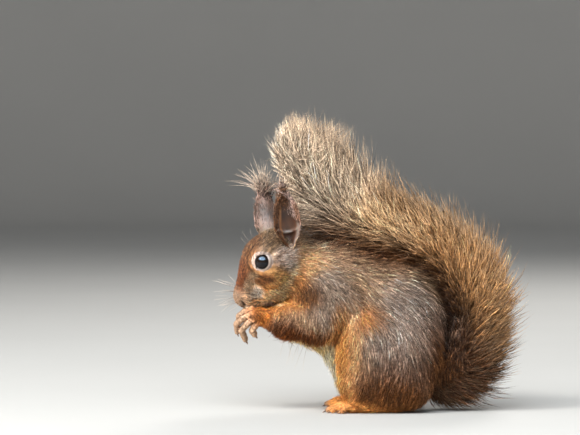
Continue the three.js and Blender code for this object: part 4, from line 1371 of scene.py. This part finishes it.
def build_ear_fur(side, count, material):
    """Short fur on the back, along the edges and over the inner face's front and top, and the long tuft."""
    draw = np.random.default_rng(31 + side)
    pick = draw.choice(len(EAR_FUR), count, p=[row[0] for row in EAR_FUR])
    rows = np.array([[*high, *wide, *rest] for _, high, wide, *rest in EAR_FUR])[pick]
    low, top, front, rear, face, long, drop = rows.T
    level, turn_share = draw.random(count) ** 0.8, draw.random(count)
    s = mix(low - drop * turn_share, top, level)
    q = mix(front, rear, turn_share)
    ruffled = side > 0  # the right ear's tuft is spread out and thin, and the left one's held together
    if ruffled:
        long = long * (draw.random(count) < 0.7)
    lift = 0.35 * face
    root = ear_place(side, s, q, lift)
    higher = ear_place(side, np.minimum(s + 0.03, 1.03), q, lift)
    out = unit(ear_place(side, s, q, lift + 0.5 * face) - root)
    edge = unit(ear_place(side, s, q * 1.02, lift) - root) * (np.abs(q) > 0.95)[:, None]
    length = draw.uniform(1.8, 3.2, count) * (0.75 + 0.5 * s)
    length += long * (draw.uniform(6, 17, count) if ruffled else draw.uniform(1, 6, count))
    way = unit(higher - root) + out * 0.14 + edge * 0.22
    way = unit(way + draw.normal(0, 0.1, (count, 3)))
    lean = turn(at(0.35, 0.2 * side, 1)) * (0.6 if ruffled else 0)
    way = unit(way + long[:, None] * (lean + draw.normal(0, 0.5 if ruffled else 0.12, (count, 3))))
    t = np.array([-0.05, 0.35, 0.7, 1.0])[:, None]
    curl = unit(np.cross(out, way)) * draw.normal(0, 0.25, (count, 1)) - out * 0.12
    curl += long[:, None] * (at(-0.1, 0, -0.12) + draw.normal(0, 0.22, (count, 3)))
    paths = root[:, None] + length[:, None, None] * (t * way[:, None] + t * t * curl[:, None])
    half = (draw.uniform(0.13, 0.22, count) + (0.01 if ruffled else 0.06) * long)[:, None]
    half = half * np.array([0.8, 1.0, 0.7, 0])
    base = ear_colours(s, q, np.ones(count), side) * np.exp(draw.normal(0, 0.5, (count, 1)))
    pale = np.where(long > 0, 0.9 if ruffled else 0.12, 0.06) * smoothstep(0.3, 0.7, s)
    tip = mix(base, shade("silver"), pale[:, None])
    shades = np.stack([base * 0.55, base, mix(base, tip, 0.7), tip], 1)
    uv = np.stack([spread01(q + 1.1 * (1 - face)), spread01(s)], -1)
    name = f"ear_fur_{SIDE_NAMES[side]}"
    lay_hairs(name, paths, out, half, half, np.clip(shades, 0, 0.95), uv, material)


# ---- Eyes ----


def build_eye(side, material):
    """A ball with a slightly fuller cornea, as rings about the way it looks."""
    centre, look, rear, up = eye_axes(side)
    polar = np.linspace(0.02, math.pi - 0.02, 40)[:, None, None]
    a = np.linspace(0, 2 * math.pi, 56, endpoint=False)[None, :, None]
    r = eye_radius(side) * (1 + 0.035 * np.exp(-((polar / 0.6) ** 2)))
    ring = rear * np.cos(a) + up * np.sin(a)
    points, faces = closed_tube(centre + r * (look * np.cos(polar) + ring * np.sin(polar)), flip=side < 0)
    made = new_object(f"eyeball_{SIDE_NAMES[side]}", points, faces, material)
    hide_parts(f"eye_{SIDE_NAMES[side]}")


# The lid's section: how far out from the opening's edge, and how high over the edge's place on the ball.
LID = ((-0.4, -0.7), (-0.1, -0.2), (0.06, 0.02), (0.3, 0.12), (0.7, 0.02), (1.2, -0.34), (1.7, -0.9),
       (2.1, -1.7), (2.2, -2.6), (1.2, -3.1), (-0.4, -2.3))  # fmt: skip


def build_lid(side, material):
    """The ring of both lids: its section carried round the opening, on the ball, with a corner drawn out at
    the front and the upper lid standing wider open."""
    centre, look, rear, up = eye_axes(side)
    a = np.linspace(0, 2 * math.pi, 96, endpoint=False)
    corner = np.exp(-(((a - math.radians(225)) / 0.17) ** 2))
    wide, high = EYE_OPENING
    high = high * np.where(np.sin(a) > 0, 1.16, 1.0)
    opening = 1 / np.hypot(np.cos(a) / wide, np.sin(a) / high)
    radius = eye_radius(side) * 1.012
    seat = np.maximum(np.sqrt(np.maximum(radius**2 - opening**2, 0)), 2.5)
    opening = opening * (1 + 0.13 * corner)
    rows = np.array(LID)
    steps = np.linspace(0, len(rows), 45)[:-1]
    closed = np.concatenate([rows[-2:], rows, rows[:3]])
    section = along(closed, (steps + 2) / (len(closed) - 1))
    r = opening + section[:, :1]
    wrinkle = 0.05 * np.sin(7 * steps[:, None]) * np.sin(11 * a + 3 * steps[:, None]) * (section[:, :1] > 0.6)
    ring = rear * np.cos(a)[:, None] + up * np.sin(a)[:, None]
    height = seat + section[:, 1:] + wrinkle - 0.2 * corner
    points = centre + ring * r[..., None] + look * height[..., None]
    wet = smoothstep(0.6, 0.3, section[:, :1]) + 0.9 * corner * smoothstep(1.3, 0.5, section[:, :1])
    colours = mix(shade("ring"), shade("black"), clamp01(wet)[..., None])
    shadow = smoothstep(1.0, 2.1, section[:, :1])[..., None] * 0.12
    faces = grid_faces(len(steps), len(a), round_rows=True)
    outward = faces[:, ::-1] if side < 0 else faces
    colours = np.broadcast_to(colours * (1 - shadow), points.shape)
    new_object(f"lids_{SIDE_NAMES[side]}", points, [outward], material, colours)


# ---- Claws and whiskers ----


def faded(root, tip, low, t, around, count):
    """Colours of strands that turn from the root's to the tip's between low and the end: t is the place of
    each ring along them."""
    place = np.append(np.repeat(t[:-1, 0], around), 1)[:, None]
    return np.tile(mix(root, tip, smoothstep(low, 1.0, place)), (count, 1, 1))


def build_claws(material):
    """Curved tapering claws, one beyond the tip of each finger and toe."""
    starts, ways, lengths, downs = [], [], [], []
    for side in SIDES:
        for lines, length in ((finger_lines(side), 2.8), (toe_lines(side), 4.0)):
            for line in lines:
                starts.append(line[-1])
                ways.append(unit(line[-1] - line[-2]))
                lengths.append(length)
                downs.append(at(0.5, 0, -0.6) if length < 3 else at(0, 0, -0.25))
    starts, ways, downs = np.array(starts), np.array(ways), np.array(downs)
    t = np.linspace(-0.15, 1, 9)[:, None]
    length = np.array(lengths)[:, None, None]
    paths = starts[:, None] + length * (t * ways[:, None] + 0.45 * t * t * downs[:, None])
    half = np.tile(0.62 * np.sqrt(np.clip(1 - t[:, 0], 0, 1)), (len(starts), 1))
    up = unit(np.cross(ways, np.cross(at(0, 0, 1), ways)) + 1e-3)
    points, faces = strands(paths, up, half * 0.8, half, 10)
    points[..., 2] = np.maximum(points[..., 2], FLOOR + 0.1)
    colours = faded(shade("dark") * 0.6, shade("pink"), 0.45, t, 10, len(starts))
    new_object("claws", points, faces, material, colours)


def surface_at(field, point, side):
    """The place on the unturned form straight out to one side of the point."""
    y = np.linspace(0, 30, 301)
    line = np.stack([np.full(301, point[0]), y * side, np.full(301, point[2])], -1)
    inside = field(line) < -0.4
    return line[np.nonzero(inside)[0].max()] if inside.any() else line[0]


PAD_ROWS, PAD_PLACES = 4, 4


@functools.cache
def whisker_roots(side):
    """Where the whiskers stand on one pad: rows from the top down, and places from the nose back."""
    places = [
        (-36.2 + 2.1 * k, -16.8 - 2.0 * row - 0.5 * k) for row in range(PAD_ROWS) for k in range(PAD_PLACES)
    ]
    return [on_head(surface_at(HEAD_FLAT, from_nape(x, 0, z), side)) for x, z in places]


def build_whiskers(material):
    """Long tapering hairs: rows on each whisker pad, a few over each eye and under each forearm."""
    draw = np.random.default_rng(41)
    roots, ways, lengths, radii = [], [], [], []

    def sprout(root, way, length, radius=0.12):
        roots.append(root)
        ways.append(unit(np.asarray(way, float) + draw.normal(0, 0.06, 3)))
        lengths.append(length)
        radii.append(radius)

    for side in SIDES:
        for number, root in enumerate(whisker_roots(side)):
            row, place = divmod(number, PAD_PLACES)
            way = turn(at(-0.9 + 0.2 * place, 0.5 * side, 0.35 - 0.16 * row))
            sprout(root, way, 16 + 4 * place)
        for k in range(3):
            root = on_head(surface_at(HEAD_FLAT, from_nape(-28 + 2 * k, 0, 8.5 + k), side))
            sprout(root, turn(at(-0.5 + 0.2 * k, 0.6 * side, 0.7)), 14 + 3 * k, 0.08)
        for k in range(4):
            root = at(-52 + 4 * k, 12.5 * side + HANDS_MIDDLE * 0.3, 52 - 1.4 * k)
            sprout(root, at(-0.45, 0.35 * side, -0.85), 20 + 3 * (k % 2), 0.09)
    roots, ways, lengths = np.array(roots), np.array(ways), np.array(lengths)[:, None, None]
    t = np.linspace(-0.03, 1, 13)[:, None]
    sag = at(0.08, 0, -0.12) + draw.normal(0, 0.1, (len(roots), 3))
    paths = roots[:, None] + lengths * (t * ways[:, None] + t * t * sag[:, None])
    half = np.array(radii)[:, None] * np.sqrt(np.clip(1 - t[:, 0], 0, 1)) * 1.1
    up = unit(np.cross(ways, at(0.3, 0.2, 1.0)))
    points, faces = strands(paths, up, half, half, 5)
    colours = faded(shade("dark") * 0.5, shade("pad"), 0.3, t, 5, len(roots))
    new_object("whiskers", points, faces, material, colours)


# ---- Settings ----


class SquirrelColours(bpy.types.PropertyGroup):
    """The colours of coat and skin."""

    __annotations__ = {
        name: FloatVectorProperty(
            name=name.capitalize(),
            description=text,
            default=colour(value),
            subtype="COLOR",
            min=0,
            max=1,
        )
        for name, (text, value) in PALETTE.items()
    }


class SquirrelCoat(bpy.types.PropertyGroup):
    """How fine the skin is and how much hair grows on it."""

    fine_step: FloatProperty(
        name="Fine step",
        description="Size of the skin's faces on head and hands",
        default=0.55 * MM,
        unit="LENGTH",
    )
    coarse_step: FloatProperty(
        name="Coarse step", description="Size of the skin's faces elsewhere", default=1.25 * MM, unit="LENGTH"
    )
    tufts: IntProperty(name="Tufts", description="Tufts on head, body and limbs", default=172000, min=100)
    hairs: IntProperty(name="Brush hairs", description="Long hairs of the tail", default=42500, min=100)
    ear_hairs: IntProperty(name="Ear hairs", description="Hairs on each ear", default=4900, min=100)


class SquirrelStage(bpy.types.PropertyGroup):
    """Camera, lights and floor."""

    lens: FloatProperty(name="Lens", description="Focal length in millimetres", default=200.0, min=20)
    view_width: FloatProperty(
        name="View width", description="Width that the camera takes in", default=0.3596, unit="LENGTH"
    )
    height_angle: FloatProperty(
        name="Camera height",
        description="How far the camera looks down",
        default=math.radians(2),
        subtype="ANGLE",
    )
    light_power: FloatProperty(
        name="Light", description="Power in watts that the lamps take shares of", default=29.0, min=0
    )
    floor_colour: FloatVectorProperty(
        name="Floor",
        description="Pale floor and backdrop",
        default=(0.43, 0.422, 0.405),
        subtype="COLOR",
        min=0,
        max=1,
    )


def fine(value):
    """A count of hairs, as it is."""
    return value


def shared(name, make):
    return bpy.data.materials.get(name) or make()


def coat_material():
    return shared("Coat", lambda: marked_material("Coat", 760.0, 3.2, 0.62, 0, Specular_IOR_Level=0.15))


def skin_material():
    return shared("Skin", lambda: marked_material("Skin", 1000.0, 1.3, 0.6, 0.12, Specular_IOR_Level=0.15))


class SQUIRREL_OT_skin(bpy.types.Operator):
    """Builds the skin over head, body, limbs and tail, and the coat of tufts on it"""

    bl_idname = "squirrel.skin"
    bl_label = "Skin and coat"

    def execute(self, context):
        sizes = context.scene.squirrel_coat
        small, large = sizes.fine_step / MM, sizes.coarse_step / MM
        axes = (
            graded(-92, 92, -91, -56, small, large),
            graded(-44, 44, -20, 12, large * 0.8, large),
            graded(-2, 190, 48, 116, small, large),
        )
        points, quads = surface(skin_field, axes)
        normals = unit(slope(skin_field, points))
        base = markings(points)
        values = lie(points)
        base *= locks_of(points, values[:, :LENGTH], values[:, LENGTH])
        # Painted shade: over the tail's core, under the brush, the skin turns to the dark brown at half
        # strength.
        core = smoothstep(1.5, -1.5, TAIL_CORE(points) - COAT_FORM(points))[:, None]
        base += (shade("dark") * 0.5 - base) * core
        # Painted shade: the skin is darkened where the coat over it is deep.
        painted_shade_under_coat = 1 - 0.42 * smoothstep(0.3, 1.6, values[:, DEPTH, None])
        skin = new_object("skin", points, [quads], skin_material(), base * painted_shade_under_coat)
        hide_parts(*FLESH)
        build_coat(points, quads, normals, fine(sizes.tufts), coat_material())
        return {"FINISHED"}


class SQUIRREL_OT_brush(bpy.types.Operator):
    """Builds the tail's brush of long hairs"""

    bl_idname = "squirrel.brush"
    bl_label = "Brush"

    def execute(self, context):
        build_brush(fine(context.scene.squirrel_coat.hairs), coat_material())
        return {"FINISHED"}


class SQUIRREL_OT_ears(bpy.types.Operator):
    """Builds both ears with their fur and tufts"""

    bl_idname = "squirrel.ears"
    bl_label = "Ears"

    def execute(self, context):
        soft = {"Subsurface_Weight": 0.15, "Subsurface_Scale": MM}
        blade = marked_material("Ear skin", 1100.0, 0.35, 0.55, 0.1, **soft)
        for side in SIDES:
            build_ear(side, blade)
            build_ear_fur(side, fine(context.scene.squirrel_coat.ear_hairs), coat_material())
        return {"FINISHED"}


def eye_material():
    made, nodes, links, shader = new_material("Eye")
    place = nodes.new("ShaderNodeTexCoord").outputs["Object"]
    ramp = nodes.new("ShaderNodeValToRGB")
    ramp.color_ramp.elements[0].color = (0.004, 0.003, 0.003, 1)
    ramp.color_ramp.elements[1].color = (0.02, 0.012, 0.008, 1)
    links.new(noise(nodes, links, place, 600.0), ramp.inputs["Fac"])
    links.new(ramp.outputs["Color"], shader.inputs["Base Color"])
    shader.inputs["Roughness"].default_value = 0.03
    shader.inputs["IOR"].default_value = 1.36
    shader.inputs["Specular Tint"].default_value = (0.5, 0.74, 1.0, 1)
    return made


class SQUIRREL_OT_eyes(bpy.types.Operator):
    """Builds the eyes and the lids round them"""

    bl_idname = "squirrel.eyes"
    bl_label = "Eyes"

    def execute(self, context):
        ball = eye_material()
        soft = {"Subsurface_Weight": 0.1, "Subsurface_Scale": MM}
        lid = marked_material("Lid", 1800.0, 0.25, 0.5, 0.06, **soft)
        for side in SIDES:
            build_eye(side, ball)
            build_lid(side, lid)
        return {"FINISHED"}


class SQUIRREL_OT_fine_parts(bpy.types.Operator):
    """Builds claws and whiskers"""

    bl_idname = "squirrel.fine_parts"
    bl_label = "Claws and whiskers"

    def execute(self, context):
        build_claws(marked_material("Claw", 1500.0, 0.3, 0.25, 0.02))
        build_whiskers(marked_material("Whisker", 800.0, 0.2, 0.35, 0))
        return {"FINISHED"}


def floor_material(tint):
    made, nodes, links, shader = new_material("Floor")
    place = nodes.new("ShaderNodeTexCoord").outputs["Object"]
    clouds = nodes.new("ShaderNodeMix")
    clouds.data_type = "RGBA"
    clouds.inputs["A"].default_value = (*tint, 1)
    clouds.inputs["B"].default_value = (*(0.94 * c for c in tint), 1)
    links.new(noise(nodes, links, place, 6.0), clouds.inputs["Factor"])
    links.new(clouds.outputs["Result"], shader.inputs["Base Color"])
    shader.inputs["Roughness"].default_value = 0.85
    return made


def build_floor(tint):
    """A round floor that sweeps up into a backdrop on all sides: a flat run, a quarter turn and a wall,
    turned about the upright line through the middle."""
    bend = np.linspace(0, math.pi / 2, 25)
    radius = np.concatenate([[0.5], 3.0 + 0.9 * np.sin(bend), [3.9]])[:, None]
    height = np.concatenate([[0.0], 0.9 - 0.9 * np.cos(bend), [4.0]])[:, None] + FLOOR * MM
    a = np.linspace(0, 2 * math.pi, 96, endpoint=False)
    points = np.stack([radius * np.cos(a), radius * np.sin(a), height + 0 * a], -1)
    mesh = bpy.data.meshes.new("floor")
    faces = grid_faces(len(radius), len(a))[:, ::-1].tolist() + [list(range(len(a)))]
    mesh.from_pydata(points.reshape(-1, 3).tolist(), [], faces)
    for face in mesh.polygons:
        face.use_smooth = True
    mesh.materials.append(floor_material(tint))
    floor = bpy.data.objects.new("floor", mesh)
    bpy.context.scene.collection.objects.link(floor)


LIGHT_AIM = (0.0, 0.0, 0.09)
# Place, size, share of the power, tint, and whether each is seen by matt and by glossy surfaces.
LIGHTS = {
    "window": ((-0.3, -0.9, 1.05), (1.8, 0.8), 0.9, (0.95, 0.98, 1.0), True, True),
    "glint": ((-0.22, -0.6, 1.3), (2.9, 1.35), 6.5, (0.85, 0.95, 1.0), False, True),
    "sun": ((-0.8, -0.7, 1.3), (0.3, 0.3), 0.45, (1.0, 0.95, 0.88), True, True),
    "front": ((-1.8, -0.75, 0.24), (1.7, 0.5), 2.0, (1.0, 0.96, 0.92), True, False),
    "rim": ((0.5, 1.2, 1.1), (0.7, 0.7), 0.5, (1.0, 0.98, 0.95), True, True),
}


def area_light(name, power, place, size, share, tint, diffuse, glossy):
    """A soft oval lamp that looks at the middle of the model."""
    light = bpy.data.lights.new(name, "AREA")
    light.shape = "ELLIPSE"
    light.size, light.size_y = size
    light.energy = power * share
    light.color = tint
    lamp = bpy.data.objects.new(name, light)
    lamp.location = place
    lamp.visible_diffuse, lamp.visible_glossy = diffuse, glossy
    lamp.rotation_euler = (Vector(LIGHT_AIM) - Vector(place)).to_track_quat("-Z", "Y").to_euler()
    bpy.context.scene.collection.objects.link(lamp)


CAMERA_AIM = (-0.053, 0.0, 0.1194)


class SQUIRREL_OT_stage(bpy.types.Operator):
    """Sets up the camera, the soft lights, the floor and the backdrop"""

    bl_idname = "squirrel.stage"
    bl_label = "Stage"

    def execute(self, context):
        stage = context.scene.squirrel_stage
        build_floor(tuple(stage.floor_colour))
        camera = bpy.data.cameras.new("camera")
        camera.lens = stage.lens
        distance = stage.lens / camera.sensor_width * stage.view_width
        aim, angle = Vector(CAMERA_AIM), stage.height_angle
        eye = bpy.data.objects.new("camera", camera)
        eye.location = aim + Vector((0, -math.cos(angle), math.sin(angle))) * distance
        eye.rotation_euler = (aim - eye.location).to_track_quat("-Z", "Y").to_euler()
        context.scene.collection.objects.link(eye)
        context.scene.camera = eye
        for name, row in LIGHTS.items():
            area_light(name, stage.light_power, *row)
        world = bpy.data.worlds.new("studio")
        world.use_nodes = True
        backing = world.node_tree.nodes["Background"]
        backing.inputs["Color"].default_value = (0.88, 0.93, 1.0, 1)
        backing.inputs["Strength"].default_value = 0.25
        context.scene.world = world
        context.scene.view_settings.view_transform = "Standard"
        return {"FINISHED"}


class SQUIRREL_PT_panel(bpy.types.Panel):
    """Lists the settings and the pieces to build"""

    bl_idname = "SQUIRREL_PT_panel"
    bl_label = "Red squirrel"
    bl_space_type = "VIEW_3D"
    bl_region_type = "UI"
    bl_category = "Squirrel"

    def draw(self, context):
        for settings in SETTINGS:
            group = getattr(context.scene, settings)
            for name in group.__annotations__:
                self.layout.prop(group, name)
        for operator in OPERATORS:
            self.layout.operator(operator.bl_idname)


OPERATORS = (
    SQUIRREL_OT_stage,
    SQUIRREL_OT_skin,
    SQUIRREL_OT_brush,
    SQUIRREL_OT_ears,
    SQUIRREL_OT_eyes,
    SQUIRREL_OT_fine_parts,
)
SETTINGS = {
    "squirrel_coat": SquirrelCoat,
    "squirrel_colours": SquirrelColours,
    "squirrel_stage": SquirrelStage,
}
CLASSES = (*SETTINGS.values(), *OPERATORS, SQUIRREL_PT_panel)


def register():
    for one in CLASSES:
        bpy.utils.register_class(one)
    for name, group in SETTINGS.items():
        setattr(bpy.types.Scene, name, PointerProperty(type=group))


def unregister():
    for name in SETTINGS:
        delattr(bpy.types.Scene, name)
    for one in reversed(CLASSES):
        bpy.utils.unregister_class(one)


def main():
    register()
    for operator in OPERATORS:
        getattr(bpy.ops.squirrel, operator.bl_idname.split(".")[1])()


if __name__ == "__main__":
    main()
